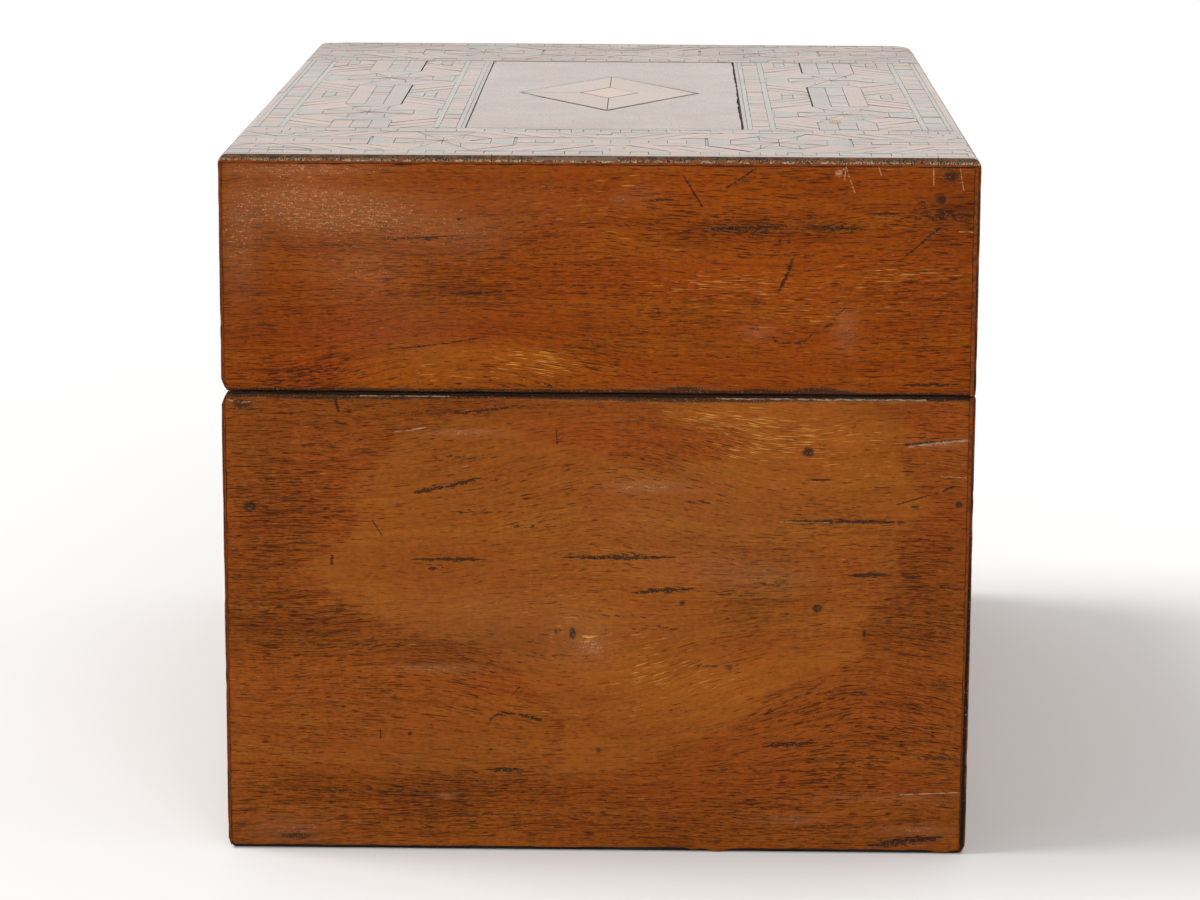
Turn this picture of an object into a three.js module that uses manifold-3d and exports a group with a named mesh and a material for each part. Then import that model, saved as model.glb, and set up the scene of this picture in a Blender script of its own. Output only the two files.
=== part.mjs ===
// A nineteenth-century Tunbridge ware box: a walnut-veneered case with a hinged lid, whose top carries a
// border of geometric parquetry around a walnut panel with a lozenge.
// Millimetres, +Z up. The origin is the centre of the underside. The short near end faces -Y, the hinged back
// faces -X and the front faces +X.

import * as THREE from "three";
import { mergeVertices } from "three/addons/utils/BufferGeometryUtils.js";
import Module from "manifold-3d";

// Overall sizes
const WIDTH = 152.4;
const LENGTH = 228.6;
const HEIGHT = 144.3;
const SEAM_Z = 96;
const SEAM_GAP = 0.4;

// Thickness of each layer
const BOARD = 8;
const BOTTOM_BOARD = 6;
const TOP_BOARD = 7.8;
const INLAY = 1.7;
const END_VENEER = 0.8;
const BACK_VENEER = 0.7;
const FRONT_VENEER = 1.3;
const GLUE_LINE = 0.05;

// Worn and worked edges, seen on the end of the box
const TOP_ROUND = 2;
const TOP_END_ROUND = 1;
const BOTTOM_ROUND = 2;
const BEVEL_DEPTH = 1.2;
const BEVEL_HEIGHT = 2;
const ROUND_STEPS = 6;

// Layout of the top
const END_BAND = 45.8;
const BACK_BAND = 47.1;
const FRONT_BAND = 46.5;
const MEDALLION_ACROSS = 30.4;
const MEDALLION_PITCH = 69;
const END_MEDALLION_INSET = 25;
const BACK_MEDALLION_INSET = 24.6;
const FRONT_MEDALLION_INSET = 23.9;
const END_MEDALLION_SHIFT = 2;
const SIDE_MEDALLION_SHIFT = -5.8;
const LOZENGE_WIDTH = 41;
const LOZENGE_LENGTH = 69;
const HEART_WIDTH = 13.3;
const HEART_LENGTH = 22;

// Butt hinges, let into the bevelled back edge
const HINGE_LENGTH = 40;
const HINGE_SPREAD = 124;
const KNUCKLE_RADIUS = 1.8;
const MIDDLE_KNUCKLE = 14;
const KNUCKLE_PLAY = 0.2;
const PIN_RADIUS = 0.8;
const PIN_PLAY = 0.06;
const LEAF_THICKNESS = 0.8;
const LEAF_INSET = 0.7;
const SCREW_SPREAD = 26;
const SCREW_HEAD_RADIUS = 1.6;
const SCREW_HEAD_DEPTH = 0.8;
const SCREW_SHANK_RADIUS = 0.8;
const SCREW_LENGTH = 7;
const SLOT_WIDTH = 0.4;
const SLOT_DEPTH = 0.3;
const ROUND_SIDES = 24;

// Cutters reach this far past what they trim.
const OVERSHOOT = 1;

// Places worked out from the sizes above
const LEFT = -WIDTH / 2;
const RIGHT = WIDTH / 2;
const NEAR = -LENGTH / 2;
const FAR = LENGTH / 2;
const BASE_TOP = SEAM_Z - SEAM_GAP / 2;
const LID_BOTTOM = SEAM_Z + SEAM_GAP / 2;
const INLAY_BOTTOM = HEIGHT - INLAY;
const TOP_BOARD_TOP = INLAY_BOTTOM - GLUE_LINE;
const TOP_BOARD_BOTTOM = TOP_BOARD_TOP - TOP_BOARD;
const LID_WALL_TOP = TOP_BOARD_BOTTOM - GLUE_LINE;
const CASE = {
  left: LEFT + BACK_VENEER + GLUE_LINE,
  right: RIGHT - FRONT_VENEER - GLUE_LINE,
  near: NEAR + END_VENEER + GLUE_LINE,
  far: FAR - END_VENEER - GLUE_LINE,
};
const PANEL = {
  left: LEFT + BACK_BAND,
  right: RIGHT - FRONT_BAND,
  near: NEAR + END_BAND,
  far: FAR - END_BAND,
};
// The two bevels of the back meet in this line, and the hinge pins lie on it.
const AXIS_X = LEFT + BEVEL_DEPTH + (SEAM_GAP / 2) * (BEVEL_DEPTH / BEVEL_HEIGHT);
const LEAF_EDGE_X = CASE.left + BOARD - LEAF_INSET;
const SCREW_X = (AXIS_X + KNUCKLE_RADIUS + KNUCKLE_PLAY + LEAF_EDGE_X) / 2;

const manifoldLibrary = await Module();
manifoldLibrary.setup();

const finish = (color, roughness, metalness = 0) =>
  new THREE.MeshStandardMaterial({ color, roughness, metalness, flatShading: true });

const walnutVeneer = finish(0x86481c, 0.32);
const edgeVeneer = finish(0x5a2c14, 0.38);
const caseWood = finish(0x9a6a3c, 0.65);
const bandInlay = finish(0x7a5138, 0.3);
const medallionInlay = finish(0xb0876a, 0.3);
const panelInlay = finish(0x8a5a34, 0.28);
const paleInlay = finish(0xc39a6c, 0.28);
const heartInlay = finish(0x9c5f3c, 0.28);
const brass = finish(0xb08d4a, 0.4, 1);

const box = new THREE.Group();
const lid = new THREE.Group();

// Geometry to solid and back

function solidOf(geometry) {
  const bare = geometry.clone();
  bare.deleteAttribute("normal");
  bare.deleteAttribute("uv");
  const merged = mergeVertices(bare, 1e-5);
  const mesh = new manifoldLibrary.Mesh({
    numProp: 3,
    vertProperties: new Float32Array(merged.attributes.position.array),
    triVerts: new Uint32Array(merged.index.array),
  });
  return new manifoldLibrary.Manifold(mesh);
}

function geometryOf(solid) {
  const mesh = solid.getMesh();
  const geometry = new THREE.BufferGeometry();
  geometry.setAttribute("position", new THREE.BufferAttribute(mesh.vertProperties, mesh.numProp));
  geometry.setIndex(new THREE.BufferAttribute(mesh.triVerts, 1));
  geometry.computeVertexNormals();
  return geometry;
}

function addPiece(group, name, solid, material) {
  const mesh = new THREE.Mesh(geometryOf(solid), material);
  mesh.name = name;
  group.add(mesh);
}

// Basic solids

function block(xFrom, xTo, yFrom, yTo, zFrom, zTo) {
  const geometry = new THREE.BoxGeometry(xTo - xFrom, yTo - yFrom, zTo - zFrom);
  geometry.translate((xFrom + xTo) / 2, (yFrom + yTo) / 2, (zFrom + zTo) / 2);
  return solidOf(geometry);
}

function prism(planPoints, zFrom, zTo) {
  const shape = new THREE.Shape(planPoints);
  const geometry = new THREE.ExtrudeGeometry(shape, { depth: zTo - zFrom, bevelEnabled: false });
  geometry.translate(0, 0, zFrom);
  return solidOf(geometry);
}

// An outline drawn in X and Z, carried along Y
function alongY(shape, yFrom, yTo) {
  const options = { depth: yTo - yFrom, bevelEnabled: false, curveSegments: ROUND_STEPS };
  const geometry = new THREE.ExtrudeGeometry(shape, options);
  geometry.rotateX(Math.PI / 2);
  geometry.translate(0, yTo, 0);
  return solidOf(geometry);
}

// An outline drawn in Y and Z, carried along X
function alongX(shape, xFrom, xTo) {
  const options = { depth: xTo - xFrom, bevelEnabled: false, curveSegments: ROUND_STEPS };
  const geometry = new THREE.ExtrudeGeometry(shape, options);
  geometry.rotateX(Math.PI / 2);
  geometry.rotateZ(Math.PI / 2);
  geometry.translate(xFrom, 0, 0);
  return solidOf(geometry);
}

function rodAlongY(radius, yFrom, yTo) {
  const geometry = new THREE.CylinderGeometry(radius, radius, yTo - yFrom, ROUND_SIDES);
  geometry.translate(AXIS_X, (yFrom + yTo) / 2, SEAM_Z);
  return solidOf(geometry);
}

// The outer form of the base and of the lid. Every board and veneer is trimmed by it.

function baseForm() {
  const outline = new THREE.Shape();
  outline.moveTo(LEFT + BOTTOM_ROUND, 0);
  outline.lineTo(RIGHT - BOTTOM_ROUND, 0);
  outline.absarc(RIGHT - BOTTOM_ROUND, BOTTOM_ROUND, BOTTOM_ROUND, -Math.PI / 2, 0);
  outline.lineTo(RIGHT, BASE_TOP);
  outline.lineTo(LEFT + BEVEL_DEPTH, BASE_TOP);
  outline.lineTo(LEFT, BASE_TOP - BEVEL_HEIGHT);
  outline.lineTo(LEFT, BOTTOM_ROUND);
  outline.absarc(LEFT + BOTTOM_ROUND, BOTTOM_ROUND, BOTTOM_ROUND, Math.PI, Math.PI * 1.5);
  return alongY(outline, NEAR - OVERSHOOT, FAR + OVERSHOOT);
}

function lidForm() {
  const across = new THREE.Shape();
  across.moveTo(LEFT + BEVEL_DEPTH, LID_BOTTOM);
  across.lineTo(RIGHT, LID_BOTTOM);
  across.lineTo(RIGHT, HEIGHT - TOP_ROUND);
  across.absarc(RIGHT - TOP_ROUND, HEIGHT - TOP_ROUND, TOP_ROUND, 0, Math.PI / 2);
  across.lineTo(LEFT + TOP_ROUND, HEIGHT);
  across.absarc(LEFT + TOP_ROUND, HEIGHT - TOP_ROUND, TOP_ROUND, Math.PI / 2, Math.PI);
  across.lineTo(LEFT, LID_BOTTOM + BEVEL_HEIGHT);
  const lengthwise = new THREE.Shape();
  lengthwise.moveTo(NEAR, LID_BOTTOM - OVERSHOOT);
  lengthwise.lineTo(FAR, LID_BOTTOM - OVERSHOOT);
  lengthwise.lineTo(FAR, HEIGHT - TOP_END_ROUND);
  lengthwise.absarc(FAR - TOP_END_ROUND, HEIGHT - TOP_END_ROUND, TOP_END_ROUND, 0, Math.PI / 2);
  lengthwise.lineTo(NEAR + TOP_END_ROUND, HEIGHT);
  lengthwise.absarc(NEAR + TOP_END_ROUND, HEIGHT - TOP_END_ROUND, TOP_END_ROUND, Math.PI / 2, Math.PI);
  const acrossForm = alongY(across, NEAR - OVERSHOOT, FAR + OVERSHOOT);
  return acrossForm.intersect(alongX(lengthwise, LEFT - OVERSHOOT, RIGHT + OVERSHOOT));
}

// Four wall boards with mitred corners, in plan: near end, front, far end and back

function wallPlans() {
  const corners = [
    [CASE.left, CASE.near],
    [CASE.right, CASE.near],
    [CASE.right, CASE.far],
    [CASE.left, CASE.far],
  ].map(([x, y]) => new THREE.Vector2(x, y));
  return ["near_end", "front", "far_end", "back"].map((side, index) => {
    const start = corners[index];
    const end = corners[(index + 1) % corners.length];
    const along = end.clone().sub(start).normalize();
    const inward = new THREE.Vector2(-along.y, along.x);
    const at = (corner, alongBy, inwardBy) =>
      corner.clone().addScaledVector(along, alongBy).addScaledVector(inward, inwardBy);
    const plan = [
      at(start, GLUE_LINE, 0),
      at(end, -GLUE_LINE, 0),
      at(end, -GLUE_LINE - BOARD, BOARD),
      at(start, GLUE_LINE + BOARD, BOARD),
    ];
    return { side, plan };
  });
}

// Side veneers overlap the edges of the end veneers, and reach the corners of the box.

function sideVeneers(zFrom, zTo) {
  return {
    near_end: block(CASE.left, CASE.right, NEAR, NEAR + END_VENEER, zFrom, zTo),
    far_end: block(CASE.left, CASE.right, FAR - END_VENEER, FAR, zFrom, zTo),
    back: block(LEFT - OVERSHOOT, LEFT + BACK_VENEER, NEAR, FAR, zFrom, zTo),
    front: block(RIGHT - FRONT_VENEER, RIGHT + OVERSHOOT, NEAR, FAR, zFrom, zTo),
  };
}

// Hinges

function screwAt(y, sign, play = 0) {
  const headRadius = SCREW_HEAD_RADIUS + play;
  const shankRadius = SCREW_SHANK_RADIUS + play;
  const profile = [
    new THREE.Vector2(0, play ? OVERSHOOT : 0),
    new THREE.Vector2(headRadius, play ? OVERSHOOT : 0),
    new THREE.Vector2(headRadius, 0),
    new THREE.Vector2(shankRadius, -SCREW_HEAD_DEPTH),
    new THREE.Vector2(shankRadius, -SCREW_LENGTH - play),
    new THREE.Vector2(0, -SCREW_LENGTH - play),
  ].filter((point, index, points) => index === 0 || !point.equals(points[index - 1]));
  const geometry = new THREE.LatheGeometry(profile.reverse(), ROUND_SIDES);
  geometry.rotateX((-sign * Math.PI) / 2);
  const leafFace = sign < 0 ? BASE_TOP : LID_BOTTOM;
  geometry.translate(SCREW_X, y, leafFace);
  return solidOf(geometry);
}

function screwSlot(y, sign) {
  const leafFace = sign < 0 ? BASE_TOP : LID_BOTTOM;
  const reach = SCREW_HEAD_RADIUS + OVERSHOOT;
  const zFrom = sign < 0 ? leafFace - SLOT_DEPTH : leafFace - OVERSHOOT;
  const zTo = sign < 0 ? leafFace + OVERSHOOT : leafFace + SLOT_DEPTH;
  return block(SCREW_X - reach, SCREW_X + reach, y - SLOT_WIDTH / 2, y + SLOT_WIDTH / 2, zFrom, zTo);
}

const screwPlaces = (centreY) => [centreY - SCREW_SPREAD / 2, centreY + SCREW_SPREAD / 2];

// Knuckle lengths along the pin: the lid's leaf holds the middle one, the base's leaf the outer two.
function knuckleSpans(centreY) {
  const half = HINGE_LENGTH / 2;
  const middle = MIDDLE_KNUCKLE / 2;
  return {
    middle: [[centreY - middle, centreY + middle]],
    outer: [
      [centreY - half, centreY - middle - KNUCKLE_PLAY],
      [centreY + middle + KNUCKLE_PLAY, centreY + half],
    ],
  };
}

// sign is -1 for the leaf in the base and +1 for the leaf in the lid.
function leafAt(centreY, sign) {
  const half = HINGE_LENGTH / 2;
  const spans = knuckleSpans(centreY);
  const own = sign < 0 ? spans.outer : spans.middle;
  const other = sign < 0 ? spans.middle : spans.outer;
  const face = sign < 0 ? BASE_TOP : LID_BOTTOM;
  const zFrom = Math.min(face, face + sign * LEAF_THICKNESS);
  let leaf = block(AXIS_X, LEAF_EDGE_X, centreY - half, centreY + half, zFrom, zFrom + LEAF_THICKNESS);
  for (const [from, to] of own) {
    leaf = leaf.add(rodAlongY(KNUCKLE_RADIUS, from, to));
  }
  for (const [from, to] of other) {
    leaf = leaf.subtract(rodAlongY(KNUCKLE_RADIUS + KNUCKLE_PLAY, from - KNUCKLE_PLAY, to + KNUCKLE_PLAY));
  }
  leaf = leaf.subtract(rodAlongY(PIN_RADIUS + PIN_PLAY, centreY - half - OVERSHOOT, centreY + half + OVERSHOOT));
  for (const y of screwPlaces(centreY)) {
    leaf = leaf.subtract(screwAt(y, sign, GLUE_LINE));
  }
  return leaf;
}

// The room that a hinge and its screws take out of a back board or veneer
function hingeRecess(centreY, sign) {
  const half = HINGE_LENGTH / 2 + GLUE_LINE;
  const depth = LEAF_THICKNESS + GLUE_LINE;
  const zFrom = sign < 0 ? BASE_TOP - depth : LID_BOTTOM - OVERSHOOT;
  const zTo = sign < 0 ? BASE_TOP + OVERSHOOT : LID_BOTTOM + depth;
  let recess = block(AXIS_X, LEAF_EDGE_X + GLUE_LINE, centreY - half, centreY + half, zFrom, zTo);
  recess = recess.add(rodAlongY(KNUCKLE_RADIUS + KNUCKLE_PLAY, centreY - half, centreY + half));
  for (const y of screwPlaces(centreY)) {
    recess = recess.add(screwAt(y, sign, GLUE_LINE));
  }
  return recess;
}

const hingeCentres = [-HINGE_SPREAD / 2, HINGE_SPREAD / 2];

function addCase(group, prefix, form, zFrom, zTo, sign) {
  const recesses = hingeCentres.map((y) => hingeRecess(y, sign));
  const trim = (side, solid) => {
    let trimmed = solid.intersect(form);
    if (side === "back") {
      for (const recess of recesses) {
        trimmed = trimmed.subtract(recess);
      }
    }
    return trimmed;
  };
  for (const { side, plan } of wallPlans()) {
    addPiece(group, `${prefix}_${side}_board`, trim(side, prism(plan, zFrom, zTo.board)), caseWood);
  }
  for (const [side, veneer] of Object.entries(sideVeneers(zFrom, zTo.veneer))) {
    const material = side === "back" || side === "front" ? edgeVeneer : walnutVeneer;
    addPiece(group, `${prefix}_${side}_veneer`, trim(side, veneer), material);
  }
}

// The top

function octagon(x, y, across) {
  const radius = across / 2 / Math.cos(Math.PI / 8);
  const points = [];
  for (let corner = 0; corner < 8; corner += 1) {
    const angle = (corner + 0.5) * (Math.PI / 4);
    points.push(new THREE.Vector2(x + radius * Math.cos(angle), y + radius * Math.sin(angle)));
  }
  return points;
}

function medallionPlaces() {
  const half = MEDALLION_PITCH / 2;
  const endPlaces = (y) => [-half, half].map((x) => [x + END_MEDALLION_SHIFT, y]);
  const sidePlaces = (x) => [-half, half].map((y) => [x, y + SIDE_MEDALLION_SHIFT]);
  return {
    near: endPlaces(NEAR + END_MEDALLION_INSET),
    far: endPlaces(FAR - END_MEDALLION_INSET),
    back: sidePlaces(LEFT + BACK_MEDALLION_INSET),
    front: sidePlaces(RIGHT - FRONT_MEDALLION_INSET),
  };
}

function addBands(group, form) {
  const zFrom = INLAY_BOTTOM;
  const zTo = HEIGHT + OVERSHOOT;
  const sideNear = PANEL.near + GLUE_LINE;
  const sideFar = PANEL.far - GLUE_LINE;
  const bands = {
    near: block(LEFT - OVERSHOOT, RIGHT + OVERSHOOT, NEAR - OVERSHOOT, PANEL.near, zFrom, zTo),
    far: block(LEFT - OVERSHOOT, RIGHT + OVERSHOOT, PANEL.far, FAR + OVERSHOOT, zFrom, zTo),
    back: block(LEFT - OVERSHOOT, PANEL.left, sideNear, sideFar, zFrom, zTo),
    front: block(PANEL.right, RIGHT + OVERSHOOT, sideNear, sideFar, zFrom, zTo),
  };
  for (const [side, places] of Object.entries(medallionPlaces())) {
    let band = bands[side].intersect(form);
    places.forEach(([x, y], index) => {
      const hole = prism(octagon(x, y, MEDALLION_ACROSS), zFrom - OVERSHOOT, zTo);
      band = band.subtract(hole);
      const medallion = prism(octagon(x, y, MEDALLION_ACROSS - 2 * GLUE_LINE), zFrom, HEIGHT);
      addPiece(group, `${side}_medallion_${index + 1}`, medallion, medallionInlay);
    });
    addPiece(group, `${side}_parquetry_band`, band, bandInlay);
  }
}

function lozenge(x, y, width, length) {
  return [
    new THREE.Vector2(x + width / 2, y),
    new THREE.Vector2(x, y + length / 2),
    new THREE.Vector2(x - width / 2, y),
    new THREE.Vector2(x, y - length / 2),
  ];
}

function addCentre(group) {
  const x = (PANEL.left + PANEL.right) / 2;
  const y = 0;
  const outer = lozenge(x, y, LOZENGE_WIDTH, LOZENGE_LENGTH);
  const inner = lozenge(x, y, HEART_WIDTH, HEART_LENGTH);
  const sheet = block(
    PANEL.left + GLUE_LINE,
    PANEL.right - GLUE_LINE,
    PANEL.near + GLUE_LINE,
    PANEL.far - GLUE_LINE,
    INLAY_BOTTOM,
    HEIGHT,
  );
  const opening = prism(outer, INLAY_BOTTOM - OVERSHOOT, HEIGHT + OVERSHOOT);
  addPiece(group, "centre_panel", sheet.subtract(opening), panelInlay);
  outer.forEach((corner, index) => {
    const next = (index + 1) % outer.length;
    const facet = [corner, outer[next], inner[next], inner[index]];
    const middle = facet.reduce((sum, point) => sum.add(point), new THREE.Vector2()).divideScalar(4);
    const drawnIn = facet.map((point) => {
      const towards = middle.clone().sub(point);
      return point.clone().addScaledVector(towards.normalize(), 2 * GLUE_LINE);
    });
    addPiece(group, `lozenge_facet_${index + 1}`, prism(drawnIn, INLAY_BOTTOM, HEIGHT), paleInlay);
  });
  const heartWidth = HEART_WIDTH - 2 * GLUE_LINE;
  const heart = prism(lozenge(x, y, heartWidth, HEART_LENGTH - 2 * GLUE_LINE), INLAY_BOTTOM, HEIGHT);
  addPiece(group, "lozenge_heart", heart, heartInlay);
}

// The whole box

function addBase() {
  const zRange = { board: BASE_TOP + OVERSHOOT, veneer: BASE_TOP + OVERSHOOT };
  addCase(box, "base", baseForm(), -OVERSHOOT, zRange, -1);
  const inset = BOARD + GLUE_LINE;
  const bottom = block(
    CASE.left + inset,
    CASE.right - inset,
    CASE.near + inset,
    CASE.far - inset,
    0,
    BOTTOM_BOARD,
  );
  addPiece(box, "bottom_board", bottom, caseWood);
}

function addLid() {
  const form = lidForm();
  const zRange = { board: LID_WALL_TOP, veneer: TOP_BOARD_TOP };
  addCase(lid, "lid", form, LID_BOTTOM - OVERSHOOT, zRange, 1);
  const top = block(CASE.left, CASE.right, CASE.near, CASE.far, TOP_BOARD_BOTTOM, TOP_BOARD_TOP);
  addPiece(lid, "top_board", top, caseWood);
  addBands(lid, form);
  addCentre(lid);
}

function addHinges() {
  hingeCentres.forEach((centreY, index) => {
    const name = `hinge_${index + 1}`;
    const half = HINGE_LENGTH / 2;
    addPiece(box, `${name}_lower_leaf`, leafAt(centreY, -1), brass);
    addPiece(lid, `${name}_upper_leaf`, leafAt(centreY, 1), brass);
    addPiece(box, `${name}_pin`, rodAlongY(PIN_RADIUS, centreY - half, centreY + half), brass);
    screwPlaces(centreY).forEach((y, place) => {
      const lower = screwAt(y, -1).subtract(screwSlot(y, -1));
      const upper = screwAt(y, 1).subtract(screwSlot(y, 1));
      addPiece(box, `${name}_lower_screw_${place + 1}`, lower, brass);
      addPiece(lid, `${name}_upper_screw_${place + 1}`, upper, brass);
    });
  });
}

addBase();
addLid();
addHinges();

const tunbridgeBox = new THREE.Group();
tunbridgeBox.add(box, lid);

export default tunbridgeBox;
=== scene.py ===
import math

import bpy
import numpy as np
from mathutils import Matrix, Vector


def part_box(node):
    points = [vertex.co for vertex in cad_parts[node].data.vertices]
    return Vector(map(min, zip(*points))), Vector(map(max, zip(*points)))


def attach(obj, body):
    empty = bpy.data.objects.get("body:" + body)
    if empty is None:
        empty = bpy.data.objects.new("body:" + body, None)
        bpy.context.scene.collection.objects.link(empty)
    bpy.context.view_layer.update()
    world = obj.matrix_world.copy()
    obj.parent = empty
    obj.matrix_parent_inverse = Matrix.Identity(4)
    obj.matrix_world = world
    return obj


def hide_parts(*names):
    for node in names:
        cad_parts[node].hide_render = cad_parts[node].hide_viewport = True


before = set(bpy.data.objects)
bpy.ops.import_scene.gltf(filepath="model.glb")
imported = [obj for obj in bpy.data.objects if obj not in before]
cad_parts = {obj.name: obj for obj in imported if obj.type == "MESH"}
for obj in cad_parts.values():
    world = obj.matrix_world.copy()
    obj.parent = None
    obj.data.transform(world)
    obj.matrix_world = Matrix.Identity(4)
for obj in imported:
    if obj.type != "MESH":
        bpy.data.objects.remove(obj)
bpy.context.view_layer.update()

# A Tunbridge ware box: walnut veneers worn by long use, and a lid top of geometric parquetry laid tile by
# tile.
# Lengths in this script are millimetres in the frame of the solids, and become metres where a mesh is made.
# -Y is the end that the camera sees, -X the hinged back, +X the front.

MM = 0.001


def span(node):
    """Lowest and highest corner of a solid, in millimetres."""
    low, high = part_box(node)
    return np.array(low) / MM, np.array(high) / MM


end_low, end_high = span("base_near_end_veneer")
back_low, back_high = span("base_back_veneer")
lid_low, lid_high = span("lid_front_veneer")
panel_low, panel_high = span("centre_panel")
near_band_low, near_band_high = span("near_parquetry_band")

LEFT, RIGHT = near_band_low[0], near_band_high[0]
NEAR, FAR = back_low[1], back_high[1]
TOP = near_band_high[2]
TILE_BOTTOM = near_band_low[2]
BASE_TOP = end_high[2]
LID_BOTTOM = lid_low[2]
VENEER_TOP = lid_high[2]
END_THICKNESS = end_high[1] - end_low[1]
LONG_ROUND = 2.0  # radius of the worn edges along the long sides
END_ROUND = 1.0  # and along the ends
BEVEL_HEIGHT = 2.0  # of the bevels at the hinged edge, each way from the seam
BEVEL_SLOPE = 1.2 / BEVEL_HEIGHT


# Colour

def linear(red, green, blue):
    """A display colour from 0 to 255 as linear red, green and blue with full alpha."""
    part = np.array([red, green, blue]) / 255
    low, high = part / 12.92, ((part + 0.055) / 1.055) ** 2.4
    return (*np.where(part <= 0.04045, low, high), 1.0)


# Meshes

def smooth_noise(x, y, cell, seed):
    """A smooth random field from -1 to 1: random numbers on a square lattice, blended by the smoothstep
    curve."""
    table = np.random.default_rng(seed).uniform(-1, 1, (64, 64))
    i, j = np.floor(x / cell), np.floor(y / cell)
    s, t = x / cell - i, y / cell - j
    s, t = s * s * (3 - 2 * s), t * t * (3 - 2 * t)
    i, j = i.astype(int) % 64, j.astype(int) % 64
    next_i, next_j = (i + 1) % 64, (j + 1) % 64
    low = table[i, j] * (1 - s) + table[next_i, j] * s
    high = table[i, next_j] * (1 - s) + table[next_i, next_j] * s
    return low * (1 - t) + high * t


def make_piece(name, points, face_groups, body, materials, replaced=(), fields=None, uv=None,
               material_index=None, smooth=None):
    """A mesh object from points in millimetres and groups of equal-sided faces, riding on a body."""
    mesh = bpy.data.meshes.new(name)
    corners = np.concatenate([group.ravel() for group in face_groups]).astype(np.int32)
    counts = np.concatenate([np.full(len(group), group.shape[1]) for group in face_groups]).astype(np.int32)
    starts = np.concatenate([[0], np.cumsum(counts)[:-1]]).astype(np.int32)
    mesh.vertices.add(len(points))
    mesh.vertices.foreach_set("co", (points * MM).astype(np.float32).ravel())
    mesh.loops.add(len(corners))
    mesh.loops.foreach_set("vertex_index", corners)
    mesh.polygons.add(len(counts))
    mesh.polygons.foreach_set("loop_start", starts)
    mesh.polygons.foreach_set("loop_total", counts)
    for field, values in (fields or {}).items():
        if values.ndim == 2:
            layer = mesh.attributes.new(field, "FLOAT_COLOR", "POINT")
            layer.data.foreach_set("color", values.astype(np.float32).ravel())
        else:
            layer = mesh.attributes.new(field, "FLOAT", "POINT")
            layer.data.foreach_set("value", values.astype(np.float32))
    if uv is not None:
        layer = mesh.uv_layers.new(name="grain")
        layer.data.foreach_set("uv", uv[corners].astype(np.float32).ravel())
    for material in materials:
        mesh.materials.append(material)
    mesh.update(calc_edges=True)
    if material_index is not None:
        mesh.polygons.foreach_set("material_index", material_index.astype(np.int32))
    is_smooth = np.ones(len(counts), bool) if smooth is None else smooth
    mesh.polygons.foreach_set("use_smooth", is_smooth)
    mesh.validate()
    piece = bpy.data.objects.new(name, mesh)
    bpy.context.scene.collection.objects.link(piece)
    if body:
        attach(piece, body)
    if replaced:
        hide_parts(*replaced)
    return piece


def grid_faces(rows, columns, start=0):
    """The quads of a grid of points, rows by columns, numbered along the columns first."""
    index = start + np.arange(rows * columns).reshape(rows, columns)
    corners = [index[:-1, :-1], index[1:, :-1], index[1:, 1:], index[:-1, 1:]]
    return np.stack(corners, -1).reshape(-1, 4)


def graded(low, high, step, worn, extra=()):
    """Stations from low to high, about a step apart, and closer within the worn edge at each end."""
    edge = worn * np.array([0, 0.1, 0.25, 0.45, 0.7])
    count = max(2, int(round((high - low - 2 * worn) / step)) + 1)
    inner = np.linspace(low + worn, high - worn, count)
    return np.unique(np.concatenate([low + edge, inner, high - edge, np.array(extra, float)]).round(4))


def rounding(distance, radius):
    """How far a quarter-round edge falls away at a distance in from the edge."""
    inside = np.clip(radius - distance, 0, radius)
    return radius - np.sqrt(radius * radius - inside * inside)


# Shader helpers

def new_material(name):
    material = bpy.data.materials.new(name)
    material.use_nodes = True
    return material, material.node_tree, material.node_tree.nodes["Principled BSDF"]


def put(tree, kind, inputs=None, **settings):
    """A node with its settings, whose inputs are either values or the outputs of other nodes."""
    made = tree.nodes.new(kind)
    for key, value in settings.items():
        setattr(made, key, value)
    for key, value in (inputs or {}).items():
        join(tree, value, made.inputs[key])
    return made


def join(tree, value, socket):
    if isinstance(value, bpy.types.NodeSocket):
        tree.links.new(value, socket)
    else:
        socket.default_value = value


def maths(tree, operation, first, second=0.0, clamp=False):
    made = put(tree, "ShaderNodeMath", {0: first, 1: second}, operation=operation, use_clamp=clamp)
    return made.outputs[0]


def times(tree, first, second):
    return maths(tree, "MULTIPLY", first, second)


def plus(tree, first, second):
    return maths(tree, "ADD", first, second)


def minus(tree, first, second):
    return maths(tree, "SUBTRACT", first, second)


def larger(tree, first, second):
    return maths(tree, "MAXIMUM", first, second)


def ramp(tree, value, low, high, to_low=0.0, to_high=1.0):
    """value carried smoothly from low..high to to_low..to_high."""
    inputs = {"Value": value, "From Min": low, "From Max": high, "To Min": to_low, "To Max": to_high}
    return put(tree, "ShaderNodeMapRange", inputs, interpolation_type="SMOOTHSTEP").outputs[0]


def blend_colour(tree, share, first, second, blend_type="MIX"):
    made = tree.nodes.new("ShaderNodeMix")
    made.data_type = "RGBA"
    made.blend_type = blend_type
    join(tree, share, made.inputs[0])
    join(tree, first, made.inputs[6])
    join(tree, second, made.inputs[7])
    return made.outputs[2]


def blend_number(tree, share, first, second):
    made = tree.nodes.new("ShaderNodeMix")
    join(tree, share, made.inputs[0])
    join(tree, first, made.inputs[2])
    join(tree, second, made.inputs[3])
    return made.outputs[0]


def attribute(tree, name, output="Fac"):
    return put(tree, "ShaderNodeAttribute", attribute_name=name).outputs[output]


def vector_maths(tree, operation, first, second):
    """The whole result of vector arithmetic: its vector, or its number for a dot product or a distance."""
    made = put(tree, "ShaderNodeVectorMath", {0: first, 1: second}, operation=operation)
    return made.outputs["Value" if operation in ("DOT_PRODUCT", "DISTANCE") else "Vector"]


def scaled(tree, value, factors):
    return vector_maths(tree, "MULTIPLY", value, factors)


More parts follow.
